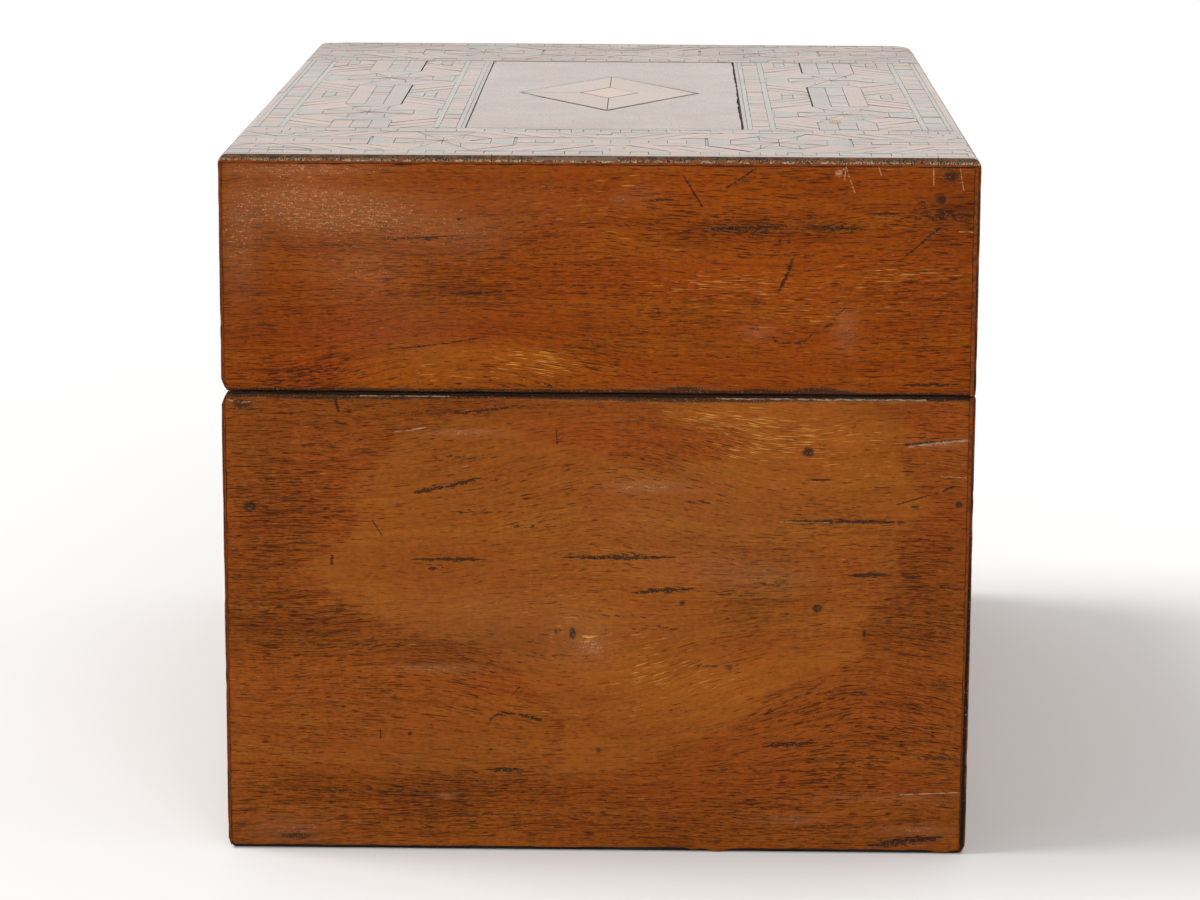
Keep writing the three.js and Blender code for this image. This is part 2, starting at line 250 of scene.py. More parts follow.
def vector(tree, x, y, z=0.0):
    return put(tree, "ShaderNodeCombineXYZ", {0: x, 1: y, 2: z}).outputs[0]


def parts_of(tree, value):
    """The x, y and z of a vector."""
    return put(tree, "ShaderNodeSeparateXYZ", {0: value}).outputs


def soft_noise(tree, place, scale, detail=2.0):
    return put(tree, "ShaderNodeTexNoise", {"Vector": place, "Scale": scale, "Detail": detail}).outputs[0]


def new_group(name, inputs, outputs):
    """An empty node group with named sockets: inputs maps a name to (kind, default), outputs a name to a
    kind."""
    tree = bpy.data.node_groups.new(name, "ShaderNodeTree")
    for key, (kind, default) in inputs.items():
        socket = tree.interface.new_socket(key, in_out="INPUT", socket_type=kind)
        socket.default_value = default
    for key, kind in outputs.items():
        tree.interface.new_socket(key, in_out="OUTPUT", socket_type=kind)
    return tree, tree.nodes.new("NodeGroupInput").outputs, tree.nodes.new("NodeGroupOutput").inputs


def use(tree, group, inputs):
    made = tree.nodes.new("ShaderNodeGroup")
    made.node_tree = group
    for key, value in inputs.items():
        join(tree, value, made.inputs[key])
    return made.outputs


VECTOR, NUMBER = "NodeSocketVector", "NodeSocketFloat"


def build_dashes():
    """Ragged marks along the grain: noise stretched along the first coordinate, where it rises above a
    threshold."""
    inputs = {
        "Vector": (VECTOR, (0, 0, 0)), "Length": (NUMBER, 3.0), "Width": (NUMBER, 0.3),
        "Threshold": (NUMBER, 0.6), "Softness": (NUMBER, 0.08),
    }
    tree, given, result = new_group("dashes", inputs, {"Mask": NUMBER})
    cell = vector(tree, given["Length"], given["Width"], 1.0)
    stretched = vector_maths(tree, "DIVIDE", given["Vector"], cell)
    pattern = {"Vector": stretched, "Scale": 1.0, "Detail": 2.0, "Distortion": 0.2}
    noise = put(tree, "ShaderNodeTexNoise", pattern).outputs[0]
    full = plus(tree, given["Threshold"], given["Softness"])
    rise = {"Value": noise, "From Min": given["Threshold"], "From Max": full}
    join(tree, put(tree, "ShaderNodeMapRange", rise).outputs[0], result["Mask"])
    return tree


def build_streaks():
    """Long soft streaks along the grain: noise stretched along the first coordinate."""
    inputs = {
        "Vector": (VECTOR, (0, 0, 0)), "Length": (NUMBER, 20.0), "Width": (NUMBER, 1.0),
        "Detail": (NUMBER, 3.0),
    }
    tree, given, result = new_group("streaks", inputs, {"Value": NUMBER})
    cell = vector(tree, given["Length"], given["Width"], 1.0)
    stretched = vector_maths(tree, "DIVIDE", given["Vector"], cell)
    noise = soft_noise(tree, stretched, 1.0, given["Detail"])
    join(tree, ramp(tree, noise, 0.25, 0.75), result["Value"])
    return tree


def build_specks():
    """Small round specks of uneven size, gathered where the given amount is high."""
    inputs = {"Vector": (VECTOR, (0, 0, 0)), "Size": (NUMBER, 0.5), "Amount": (NUMBER, 0.2)}
    tree, given, result = new_group("specks", inputs, {"Mask": NUMBER})
    scale = maths(tree, "DIVIDE", 1.0, given["Size"])
    cells = put(tree, "ShaderNodeTexVoronoi", {"Vector": given["Vector"], "Scale": scale})
    lot = put(tree, "ShaderNodeSeparateColor", {0: cells.outputs["Color"]}).outputs[0]
    left_out = minus(tree, 1.0, given["Amount"])
    size = ramp(tree, lot, left_out, 1.0, 0.0, 0.45)
    spot = ramp(tree, cells.outputs["Distance"], 0.0, size, 1.0, 0.0)
    shown = maths(tree, "GREATER_THAN", lot, left_out)
    join(tree, times(tree, spot, shown), result["Mask"])
    return tree


def build_mark():
    """A mark on a flat face: where the distance to a line, made ragged by a given noise, is less than a
    half width. From and To hold the ends of the line in X and Y. From holds the half width in Z, and To
    holds the taper in Z, which draws the half width in towards both ends, as one minus the square along the
    line."""
    inputs = {
        "Vector": (VECTOR, (0, 0, 0)), "From": (VECTOR, (0, 0, 0.2)), "To": (VECTOR, (1, 0, 0)),
        "Noise": (NUMBER, 0.5), "Ragged": (NUMBER, 0.0),
    }
    tree, given, result = new_group("mark", inputs, {"Mask": NUMBER})
    flat = (1.0, 1.0, 0.0)
    line = scaled(tree, vector_maths(tree, "SUBTRACT", given["To"], given["From"]), flat)
    away = scaled(tree, vector_maths(tree, "SUBTRACT", given["Vector"], given["From"]), flat)
    along = vector_maths(tree, "DOT_PRODUCT", away, line)
    share = maths(tree, "DIVIDE", along, vector_maths(tree, "DOT_PRODUCT", line, line), clamp=True)
    foot = put(tree, "ShaderNodeVectorMath", {0: line, "Scale": share}, operation="SCALE").outputs[0]
    gap = vector_maths(tree, "DISTANCE", away, foot)
    from_middle = minus(tree, times(tree, share, 2.0), 1.0)
    taper = parts_of(tree, given["To"])[2]
    drawn_in = times(tree, times(tree, from_middle, from_middle), taper)
    width = larger(tree, parts_of(tree, given["From"])[2], 0.001)
    half = times(tree, width, minus(tree, 1.05, drawn_in))
    uneven = times(tree, minus(tree, 0.5, given["Noise"]), given["Ragged"])
    nearness = plus(tree, maths(tree, "DIVIDE", gap, half), uneven)
    join(tree, ramp(tree, nearness, 0.45, 1.0, 1.0, 0.0), result["Mask"])
    return tree


dashes_group = build_dashes()
streaks_group = build_streaks()
specks_group = build_specks()
mark_group = build_mark()


def millimetres(tree):
    """The object's own coordinates, in millimetres."""
    place = put(tree, "ShaderNodeTexCoord").outputs["Object"]
    return scaled(tree, place, (1 / MM,) * 3)


def ragged_mask(tree, amount, noise, depth, low, high):
    """A soft amount made into a crisp, uneven mask by a noise: where their sum rises from low to high."""
    uneven = times(tree, minus(tree, noise, 0.5), depth)
    return ramp(tree, plus(tree, amount, uneven), low, high)


def streaks(tree, grain, length, width, detail):
    inputs = {"Vector": grain, "Length": length, "Width": width, "Detail": detail}
    return use(tree, streaks_group, inputs)["Value"]


def dashes(tree, grain, length, width, threshold, softness=0.08):
    inputs = {"Vector": grain, "Length": length, "Width": width, "Threshold": threshold, "Softness": softness}
    return use(tree, dashes_group, inputs)["Mask"]


def mark(tree, place, start, end, noise=0.5, ragged=0.0):
    inputs = {"Vector": place, "From": start, "To": end, "Noise": noise, "Ragged": ragged}
    return use(tree, mark_group, inputs)["Mask"]


def finish_shader(tree, shader, colour, rough, height, strength, reach=0.2, **fixed):
    """Joins colour, roughness and relief to the shader, and sets its own sockets to the fixed values. The
    relief reaches so many millimetres. A socket's name is given with underscores for its spaces."""
    bump = put(tree, "ShaderNodeBump", {"Height": height, "Strength": strength, "Distance": reach * MM})
    join(tree, colour, shader.inputs["Base Color"])
    join(tree, rough, shader.inputs["Roughness"])
    join(tree, bump.outputs[0], shader.inputs["Normal"])
    for key, value in fixed.items():
        join(tree, value, shader.inputs[key.replace("_", " ")])


def nearest_mark(tree, kind, flat, noise, ragged):
    """The mark of a kind that lies nearest, whose ends are held at the points of the mesh."""
    start, end = (attribute(tree, f"{kind}_{side}", "Vector") for side in ("from", "to"))
    return mark(tree, flat, start, end, noise, ragged)


# Walnut veneer, with its grain along the first coordinate of the grain map

# Kinds of pores: length, width, threshold of the noise, and share of the dark colour
PORES = (3.0, 0.2, 0.59, 0.85), (6.5, 0.28, 0.61, 0.75), (1.2, 0.15, 0.6, 0.5)


def walnut(name, base, dark, light, red, marked=False, rough=0.32, specular=0.06, coat=0.0):
    material, tree, shader = new_material(name)
    grain = put(tree, "ShaderNodeUVMap", uv_map="grain").outputs[0]
    place = millimetres(tree)
    parts = parts_of(tree, place)
    flat = vector(tree, parts[0], parts[2])
    shade = attribute(tree, "shade")
    figure = attribute(tree, "figure")
    open_grain = attribute(tree, "open_grain")
    broad = streaks(tree, grain, 70.0, 3.6, 2.0)
    middle = streaks(tree, grain, 24.0, 0.8, 3.0)
    fine = streaks(tree, grain, 4.0, 0.18, 3.0)
    blotch = soft_noise(tree, place, 0.06, 3.0)
    mottle = soft_noise(tree, place, 0.9, 3.0)
    crisp = soft_noise(tree, place, 2.6, 2.0)
    flecked = streaks(tree, grain, 1.6, 0.35, 2.0)

    light_share = plus(tree, times(tree, figure, 0.5), ramp(tree, broad, 0.35, 0.9, 0.0, 0.4))
    colour = blend_colour(tree, maths(tree, "MINIMUM", light_share, 1.0), base, light)
    red_share = plus(tree, ramp(tree, blotch, 0.45, 0.7, 0.0, 0.3), attribute(tree, "warmth"))
    colour = blend_colour(tree, maths(tree, "MULTIPLY", red_share, 0.8, clamp=True), colour, red)
    streak_share = ramp(tree, middle, 0.45, 1.0, 0.0, 0.55)
    streak_share = times(tree, streak_share, ramp(tree, open_grain, 0.0, 1.0, 0.3, 1.0))
    colour = blend_colour(tree, streak_share, colour, dark)
    tone = plus(tree, ramp(tree, fine, 0.0, 1.0, 0.88, 1.1), times(tree, shade, 0.35))
    tone = plus(tree, tone, ramp(tree, mottle, 0.3, 0.7, -0.09, 0.09))
    tone = vector(tree, tone, tone, tone)
    colour = blend_colour(tree, 1.0, colour, tone, "MULTIPLY")

    pores = None
    for length, width, threshold, share in PORES:
        limit = minus(tree, threshold + 0.06, times(tree, open_grain, 0.1))
        drawn = times(tree, dashes(tree, grain, length, width, limit, 0.04), share)
        pores = drawn if pores is None else larger(tree, pores, drawn)
    colour = blend_colour(tree, pores, colour, linear(50, 21, 6))

    gold = attribute(tree, "gold")
    gold_limit = minus(tree, 0.72, times(tree, gold, 0.145))
    gold_mask = dashes(tree, grain, 4.6, 0.17, gold_limit, 0.06)
    colour = blend_colour(tree, times(tree, gold_mask, 0.7), colour, linear(222, 160, 78))

    haze = attribute(tree, "haze")
    colour = blend_colour(tree, times(tree, haze, 0.26), colour, linear(170, 116, 80))
    haze_noise = plus(tree, times(tree, crisp, 0.75), times(tree, flecked, 0.3))
    haze_limit = minus(tree, 0.77, times(tree, haze, 0.2))
    haze_mask = ramp(tree, minus(tree, haze_noise, haze_limit), 0.0, 0.12, 0.0, 0.42)
    colour = blend_colour(tree, haze_mask, colour, linear(206, 160, 122))

    pit_mask = ragged_mask(tree, attribute(tree, "pits"), flecked, 1.1, 0.5, 0.72)
    # The soil field darkens dirt spots and rims, and a band along the seam as painted shade.
    soil = attribute(tree, "soil")
    soil_and_seam_shade_mask = ragged_mask(tree, soil, crisp, 0.9, 0.4, 0.7)
    spots = larger(tree, times(tree, pit_mask, 0.7), times(tree, soil_and_seam_shade_mask, 0.8))
    if marked:
        deep = nearest_mark(tree, "dark", flat, flecked, 1.2)
        spots = larger(tree, spots, times(tree, deep, 0.85))
    colour = blend_colour(tree, spots, colour, linear(42, 27, 15))
    dust = times(tree, ramp(tree, crisp, 0.58, 0.68), spots)
    colour = blend_colour(tree, times(tree, dust, 0.45), colour, linear(150, 132, 108))

    height = times(tree, pores, -0.4)
    height = minus(tree, height, times(tree, spots, 1.0))
    height = plus(tree, height, times(tree, fine, 0.1))
    if marked:
        scraped = nearest_mark(tree, "pale", flat, crisp, 1.2)
        scraped = times(tree, scraped, ramp(tree, flecked, 0.3, 0.6, 0.05, 0.45))
        colour = blend_colour(tree, scraped, colour, linear(208, 172, 138))

    roughness = ramp(tree, blotch, 0.3, 0.7, rough - 0.05, rough + 0.08)
    roughness = plus(tree, roughness, times(tree, haze_mask, 0.3))
    roughness = plus(tree, roughness, times(tree, larger(tree, pores, spots), 0.25))
    finish_shader(tree, shader, colour, roughness, height, 0.3,
                  Specular_IOR_Level=specular, Coat_Weight=coat, Coat_Roughness=0.12)
    return material


def edge_grain(name, dark, pale, share, grain_size=0.4):
    """The sawn edge of a veneer: dark, with paler grains of wood and old glue."""
    material, tree, shader = new_material(name)
    place = millimetres(tree)
    grains = soft_noise(tree, place, 1 / grain_size, 2.0)
    cloud = soft_noise(tree, place, 0.35, 3.0)
    lifted = plus(tree, grains, times(tree, cloud, 0.5))
    mask = ramp(tree, lifted, 0.88 - 0.25 * share, 0.98 - 0.25 * share)
    colour = blend_colour(tree, mask, dark, pale)
    rough = ramp(tree, cloud, 0.3, 0.7, 0.5, 0.75)
    finish_shader(tree, shader, colour, rough, grains, 0.4, Specular_IOR_Level=0.2)
    return material


def long_veneer_ends():
    """The ends of the back and front veneers, seen at both sides of the box's end: stained like the face
    beside them, and dark and flecked along the outer arris, more widely at the foot of the front one: the
    veneer's end grain, darkened as painted shade."""
    material, tree, shader = new_material("long_veneer_ends")
    place = millimetres(tree)
    parts = parts_of(tree, place)
    inwards = minus(tree, RIGHT, maths(tree, "ABSOLUTE", parts[0]))
    cloud = soft_noise(tree, place, 1.1, 3.0)
    grains = soft_noise(tree, place, 2.6, 2.0)
    front_reach = ramp(tree, parts[2], 0.0, 90.0, 1.25, 0.55)
    reach = blend_number(tree, maths(tree, "GREATER_THAN", parts[0], 0.0), 0.4, front_reach)
    # A dark, flecked band along the outer arris: end grain, and painted shade on the arris.
    past = minus(tree, plus(tree, inwards, times(tree, cloud, 0.5)), reach)
    end_grain_and_arris_shade = ramp(tree, past, 0.1, 0.4, 1.0, 0.0)
    wood = blend_colour(tree, ramp(tree, cloud, 0.35, 0.65), linear(130, 62, 14), linear(94, 44, 12))
    flecked = blend_colour(tree, ramp(tree, grains, 0.66, 0.72), linear(30, 19, 13), linear(150, 122, 96))
    colour = blend_colour(tree, end_grain_and_arris_shade, wood, flecked)
    finish_shader(tree, shader, colour, 0.5, grains, 0.3, Specular_IOR_Level=0.1)
    return material


# The walls of the veneer sheets: dark end grain, and painted shade, so that the seam and the gaps under the
# veneers read dark.
veneer_edge_and_shade = edge_grain("veneer_edge_and_painted_shade", linear(30, 18, 12), linear(150, 122, 96), 0.1)
long_edge = long_veneer_ends()


# Grain flow and wear on a veneer, as fields over its face. A patch is (along, up, reach along, reach up,
# amount).

def patches(a, b, spots):
    total = np.zeros_like(a)
    for along, up, reach_along, reach_up, amount in spots:
        total += amount * np.exp(-(((a - along) / reach_along) ** 2) - ((b - up) / reach_up) ** 2)
    return total


def patch_tops(a, b, spots):
    """As patches, but each spot is flat inside and ends in a narrow ragged border."""
    ragged = 1 + 0.35 * smooth_noise(a, b, 0.9, 5) + 0.2 * smooth_noise(a, b, 0.45, 6)
    total = np.zeros_like(a)
    for along, up, reach_along, reach_up, amount in spots:
        distance = np.sqrt(((a - along) / reach_along) ** 2 + ((b - up) / reach_up) ** 2) * ragged
        total = np.maximum(total, amount * np.clip((1.15 - distance) / 0.4, 0, 1))
    return total


def strongest(a, b, spots):
    """As patches, but where spots meet the stronger one holds."""
    total = np.zeros_like(a)
    for along, up, reach_along, reach_up, amount in spots:
        inside = np.exp(-(((a - along) / reach_along) ** 2) - ((b - up) / reach_up) ** 2)
        total = np.maximum(total, amount * inside)
    return total


def within(a, b, outline, soft):
    """1 inside a closed outline and 0 outside: the distance to its nearest side, signed by how many sides a
    level line crosses, and blended over a soft width."""
    nearest = np.full_like(a, 1e9)
    inside = np.zeros(a.shape, bool)
    for (a0, b0), (a1, b1) in zip(outline, outline[1:] + outline[:1]):
        da, db = a1 - a0, b1 - b0
        share = np.clip(((a - a0) * da + (b - b0) * db) / (da * da + db * db), 0, 1)
        nearest = np.minimum(nearest, np.hypot(a - a0 - share * da, b - b0 - share * db))
        if b0 != b1:
            crosses = ((b0 > b) != (b1 > b)) & (a < a0 + (b - b0) * da / db)
            inside ^= crosses
    wander = 0.7 * smooth_noise(a, b * 2, 2.6, 61) + 0.4 * smooth_noise(a, b * 3, 1.1, 62)
    signed = np.where(inside, nearest, -nearest) + wander
    return np.clip(0.5 + signed / soft, 0, 1)


def eye_flow(a, b, eyes):
    """Grain lines that spread around a knot: each line is pushed away from the knot's height."""
    flow = np.zeros_like(a)
    for along, up, reach_along, reach_up, push in eyes:
        inside = np.exp(-(((a - along) / reach_along) ** 2) - ((b - up) / reach_up) ** 2)
        flow -= push * (b - up) / reach_up * inside
    return flow


def nearest_ends(a, b, lines):
    """The ends of the straight mark nearest to each point, as (along, up, half width) and (along, up,
    taper). More than a margin away from every mark the half width is 0. A line is (its corners, half width,
    taper)."""
    margin = 1.2
    start, end = np.zeros((*a.shape, 4)), np.zeros((*a.shape, 4))
    nearest = np.full(a.shape, 1e9)
    for corners, width, taper in lines:
        for (a0, b0), (a1, b1) in zip(corners[:-1], corners[1:]):
            da, db = a1 - a0, b1 - b0
            share = np.clip(((a - a0) * da + (b - b0) * db) / (da * da + db * db), 0, 1)
            gap = np.hypot(a - a0 - share * da, b - b0 - share * db) - width
            closer = gap < nearest
            nearest = np.where(closer, gap, nearest)
            start[closer] = (a0, b0, width, 0)
            end[closer] = (a1, b1, taper, 0)
    start[nearest > margin, 2] = 0
    return start, end


class Veneer:
    """What a sheet of veneer shows: its figure, the wear on it and painted shade along the seam, in
    millimetres along and up the sheet.
    """

    def __init__(self, seed, eyes=(), tilts=(), shade=(), warmth=(), pits=(), haze=(), soil=(), gold=(),
                 dents=(),
                 dense=(), figures=(), marks=None, seam=None):
        self.seed = seed
        self.eyes = eyes
        self.tilts = tilts
        self.shade = shade
        self.warmth = warmth
        self.pits = pits
        self.haze = haze
        self.soil = soil
        self.gold = gold
        self.dents = dents
        self.dense = dense
        self.figures = figures
        self.marks = marks
        self.seam = seam

    def grain(self, a, b):
        wander = 1.3 * smooth_noise(a, b * 1.6, 34, self.seed)
        wander = wander + 0.4 * smooth_noise(a, b * 2, 11, self.seed + 1)
        along = a + 1.5 * smooth_noise(a, b, 23, self.seed + 2) + 37 * self.seed
        return np.stack([along, b + wander + patches(a, b, self.tilts) + eye_flow(a, b, self.eyes)], -1)

    def fields(self, a, b, from_side, from_level):
        from_edge = np.minimum(from_side, from_level)
        # Darker along the rims: dirt, with painted shade where the rim meets the seam.
        dark_rim = from_level if self.marks else from_edge
        edge = 0.75 * np.exp(-dark_rim / 0.3) + 0.22 * np.exp(-from_edge / 1.8)
        edge = edge * (0.6 + 0.5 * smooth_noise(a, b, 3.1, self.seed + 3))
        # A band along the seam is darkened as painted shade.
        if self.seam is not None:
            edge = edge + 1.1 * np.exp(-(((b - self.seam) / 0.42) ** 2))
        mottle = 0.16 * smooth_noise(a, b * 1.5, 15, self.seed + 4)
        mottle = mottle + 0.1 * smooth_noise(a, b * 1.5, 5, self.seed + 5)
        figure = np.zeros_like(a)
        for outline, soft, amount in self.figures:
            figure = np.maximum(figure, amount * within(a, b, outline, soft))
        dense = 0.55 + 0.25 * smooth_noise(a, b * 2, 16, self.seed + 9)
        dense = dense + patches(a, b, self.dense) - 0.4 * figure
        fields = {
            "shade": mottle + patches(a, b, self.shade),
            "warmth": np.clip(patches(a, b, self.warmth) - 0.25 * figure, 0, 1),
            "figure": figure,
            "open_grain": np.clip(dense, 0, 1.2),
            "pits": strongest(a, b, self.pits),
            "haze": np.clip(patches(a, b, self.haze), 0, 1),
            # The soil field holds dirt and this painted shade along the seam.
            "soil": np.clip(edge + strongest(a, b, self.soil), 0, 1),
            "gold": np.clip(patches(a, b, self.gold), 0, 1),
        }
        for kind, lines in (self.marks or {}).items():
            fields[f"{kind}_from"], fields[f"{kind}_to"] = nearest_ends(a, b, lines)
        return fields

    def relief(self, a, b):
        """Always inwards: slow waves of the old ground, and dents."""
        waves = 0.05 * (1 + smooth_noise(a, b, 26, self.seed + 6)) / 2
        waves = waves + 0.012 * (1 + smooth_noise(a, b, 7, self.seed + 7))
        return waves + patch_tops(a, b, self.dents)


def veneer_sheet(name, veneer, axes, a_range, b_range, faces_at, thickness, step, body, replaced,
                 material, profile, worn=0.5, edge_shift=None, extra_a=(), edge=None):
    """A sheet of veneer as a closed skin: its face is the point (a, b) on the sheet set back by the profile
    of the box's edges, the worn arris and the relief; its walls run straight back to the glue line."""
    along, up, outward = axes
    a = graded(*a_range, step, worn, extra_a)
    b = graded(*b_range, step, worn)
    a, b = np.meshgrid(a, b, indexing="ij")
    moved_b = b + (edge_shift(a, b) if edge_shift else 0)
    from_side = np.minimum(a - a_range[0], a_range[1] - a)
    from_level = np.minimum(b - b_range[0], b_range[1] - b)
    edge_distance = np.minimum(from_side, from_level)
    arris = rounding(from_side, worn) * (0.3 if edge is None else 1.0)
    arris = arris + rounding(b - b_range[0], worn * 0.6) + rounding(b_range[1] - b, worn * 0.6)
    chipped = np.exp(-edge_distance / 0.5) * np.clip(smooth_noise(a, b, 2.3, veneer.seed + 8), 0, 1) * 0.25
    set_back = np.clip(profile(moved_b) + arris + chipped + veneer.relief(a, b), 0, thickness - 0.03)
    shape = a.shape
    face = a[..., None] * along + moved_b[..., None] * up + (faces_at - set_back)[..., None] * outward
    ring = np.concatenate([
        np.arange(shape[0]) * shape[1],
        (shape[0] - 1) * shape[1] + np.arange(1, shape[1]),
        (np.arange(shape[0] - 2, -1, -1)) * shape[1] + shape[1] - 1,
        np.arange(shape[1] - 2, 0, -1),
    ])
    flat = face.reshape(-1, 3)
    rim = flat[ring] * (1 - np.abs(outward)) + outward * (faces_at - thickness)
    middle = rim.mean(0)
    points = np.concatenate([flat, rim, middle[None]])
    first = len(flat)
    here, there = np.arange(len(ring)), (np.arange(len(ring)) + 1) % len(ring)
    quads = grid_faces(*shape)
    walls = np.stack([ring[here], first + here, first + there, ring[there]], -1)
    fan = np.stack([first + there, first + here, np.full(len(ring), len(points) - 1)], -1)
    if np.dot(np.cross(along, up), outward) > 0:
        turned = [quads, walls, fan]
    else:
        turned = [quads[:, ::-1], walls[:, ::-1], fan[:, ::-1]]
    index = np.concatenate([np.zeros(len(quads)), np.ones(len(walls)), np.ones(len(fan))])
    smooth = np.concatenate([np.ones(len(quads), bool), np.zeros(len(walls) + len(fan), bool)])

    def pad(values):
        blank = np.zeros((len(ring) + 1, *values.shape[2:]))
        return np.concatenate([values.reshape(-1, *values.shape[2:]), blank])

    fields = {key: pad(values) for key, values in veneer.fields(a, b, from_side, from_level).items()}
    grain = veneer.grain(a, b).reshape(-1, 2)
    uv = np.concatenate([grain, grain[ring], grain[:1]])
    materials = [material, edge or veneer_edge_and_shade]
    return make_piece(name, points, turned, body, materials, replaced, fields, uv, index, smooth)


X_AXIS, Y_AXIS, Z_AXIS = np.eye(3)
END_AXES = {"near": (X_AXIS, Z_AXIS, -Y_AXIS), "far": (X_AXIS, Z_AXIS, Y_AXIS)}
SIDE_AXES = {"back": (Y_AXIS, Z_AXIS, -X_AXIS), "front": (Y_AXIS, Z_AXIS, X_AXIS)}

flat_profile = lambda b: np.zeros_like(b)


def base_front_profile(b):
    return rounding(b, LONG_ROUND)


def base_back_profile(b):
    return rounding(b, LONG_ROUND) + np.clip(b - (BASE_TOP - BEVEL_HEIGHT), 0, None) * BEVEL_SLOPE


def lid_front_profile(b):
    return rounding(TOP - b, LONG_ROUND)


def lid_back_profile(b):
    return rounding(TOP - b, LONG_ROUND) + np.clip(LID_BOTTOM + BEVEL_HEIGHT - b, 0, None) * BEVEL_SLOPE


# The photographed end of the base: a broad pale flame around a small knot, and the marks of long use.
BASE_FLAME = [
    (-61, 60), (-55.5, 62.8), (-50.3, 65), (-49.3, 70.7), (-51.8, 75.9), (-43.1, 82.2), (-40.5, 86.9),
    (-34.9, 89.5), (-26.8, 92.1), (-19.8, 89.6), (-8.7, 85.6), (4.5, 83.1), (14.6, 80.6), (34.8, 85.9),
    (46.9, 83.4), (60, 84), (62.1, 79.9), (68.9, 72.2), (61.4, 68), (61, 61.2), (62.6, 56), (55.6, 51.7),
    (53.6, 47.5), (54.7, 42.3), (46.6, 38), (35.5, 34.7), (30.4, 28.3), (18.2, 22.3), (4.8, 17.4),
    (-9.6, 16.2), (-6.5, 24.8), (-8.6, 31.1), (-14.7, 36.4), (-18.8, 42.7), (-34.1, 45.7), (-45.4, 48.8),
    (-54.5, 55),
]
BASE_PATCH = [
    (11, 95), (14, 91), (26, 90), (33, 86), (45, 83.5), (60, 85), (66, 88), (60, 92), (46, 94.5),
    (30, 95.4),
]
BASE_FOOT = [
    (-76, 37), (-60, 40), (-40, 41), (-24, 36), (-12, 31), (-8, 24), (-11, 18), (-24, 16.5), (-44, 15),
    (-60, 17), (-76, 20),
]
# Marks: (the corners of a line in X and Z, half width, taper)
BASE_MARKS = [
    ([(-37.5, 75.4), (-30.0, 76.9)], 0.68, 0.85),
    ([(-32.0, 76.5), (-23.5, 78.6)], 0.5, 0.85),
    ([(-38.0, 61.5), (-22.5, 61.7)], 0.53, 0.85),
    ([(-34.5, 59.6), (-32.5, 59.7)], 0.37, 0.85),
    ([(-7.0, 62.2), (16.0, 62.4)], 0.62, 0.85),
    ([(37.0, 70.1), (62.5, 70.1)], 0.43, 0.85),
    ([(51.0, 58.9), (59.5, 59.1)], 0.59, 0.85),
    ([(7.0, 55.0), (20.0, 55.9)], 0.62, 0.85),
    ([(34.0, 22.6), (45.5, 23.6)], 0.56, 0.85),
    ([(-22.5, 17.3), (-15.0, 17.2)], 0.56, 0.85),
    ([(42.0, 78.7), (47.5, 78.8)], 0.31, 0.85),
    ([(-29.0, 92.0), (-17.0, 93.2)], 0.31, 0.85),
    ([(60.0, 86.0), (76.0, 87.4)], 0.37, 0.85),
    ([(56.0, 1.6), (71.5, 3.6)], 1.12, 0.85),
    ([(-53.1, 94.5), (-52.5, 92.4)], 0.42, 0),
    ([(-54.0, 62.1), (-54.1, 60.5)], 0.4, 0),
    ([(-44.5, 25.8), (-44.4, 23.7)], 0.14, 0),
    ([(60.6, 73.7), (67.3, 75.8)], 0.16, 0),
    ([(70.0, 76.6), (72.1, 77.7)], 0.2, 0),
    ([(-21.9, 27.8), (-19.8, 29.5), (-16.8, 29.1)], 0.26, 0),
    ([(-15.8, 28.9), (-11.6, 27.9)], 0.4, 0),
    ([(-45.8, 69.7), (-43.8, 66.4)], 0.13, 0),
    ([(-17.6, 32.9), (-15.9, 34.8)], 0.16, 0),
    ([(-8.4, 88.5), (-8.2, 85.8)], 0.16, 0),
]
BASE_SCRATCHES = [
    ([(63.0, 85.7), (69.1, 86.6), (75.1, 87.2)], 0.28, 0),
    ([(-41.0, 88.0), (-34.9, 88.9)], 0.2, 0),
    ([(62.5, 12.6), (74.8, 13.2)], 0.14, 0),
    ([(37.0, 70.0), (47.0, 69.9)], 0.1, 0),
    ([(69.5, 79.6), (74.5, 79.4)], 0.12, 0),
    ([(24.0, 95.35), (44.0, 95.3)], 0.2, 0),
    ([(44.0, 95.3), (66.0, 95.3)], 0.26, 0),
    ([(-48.0, 95.4), (-30.0, 95.4)], 0.12, 0),
    ([(-74.6, 94.3), (-73.6, 94.1)], 0.2, 0),
    ([(-72.0, 93.8), (-70.4, 94.0)], 0.16, 0),
]
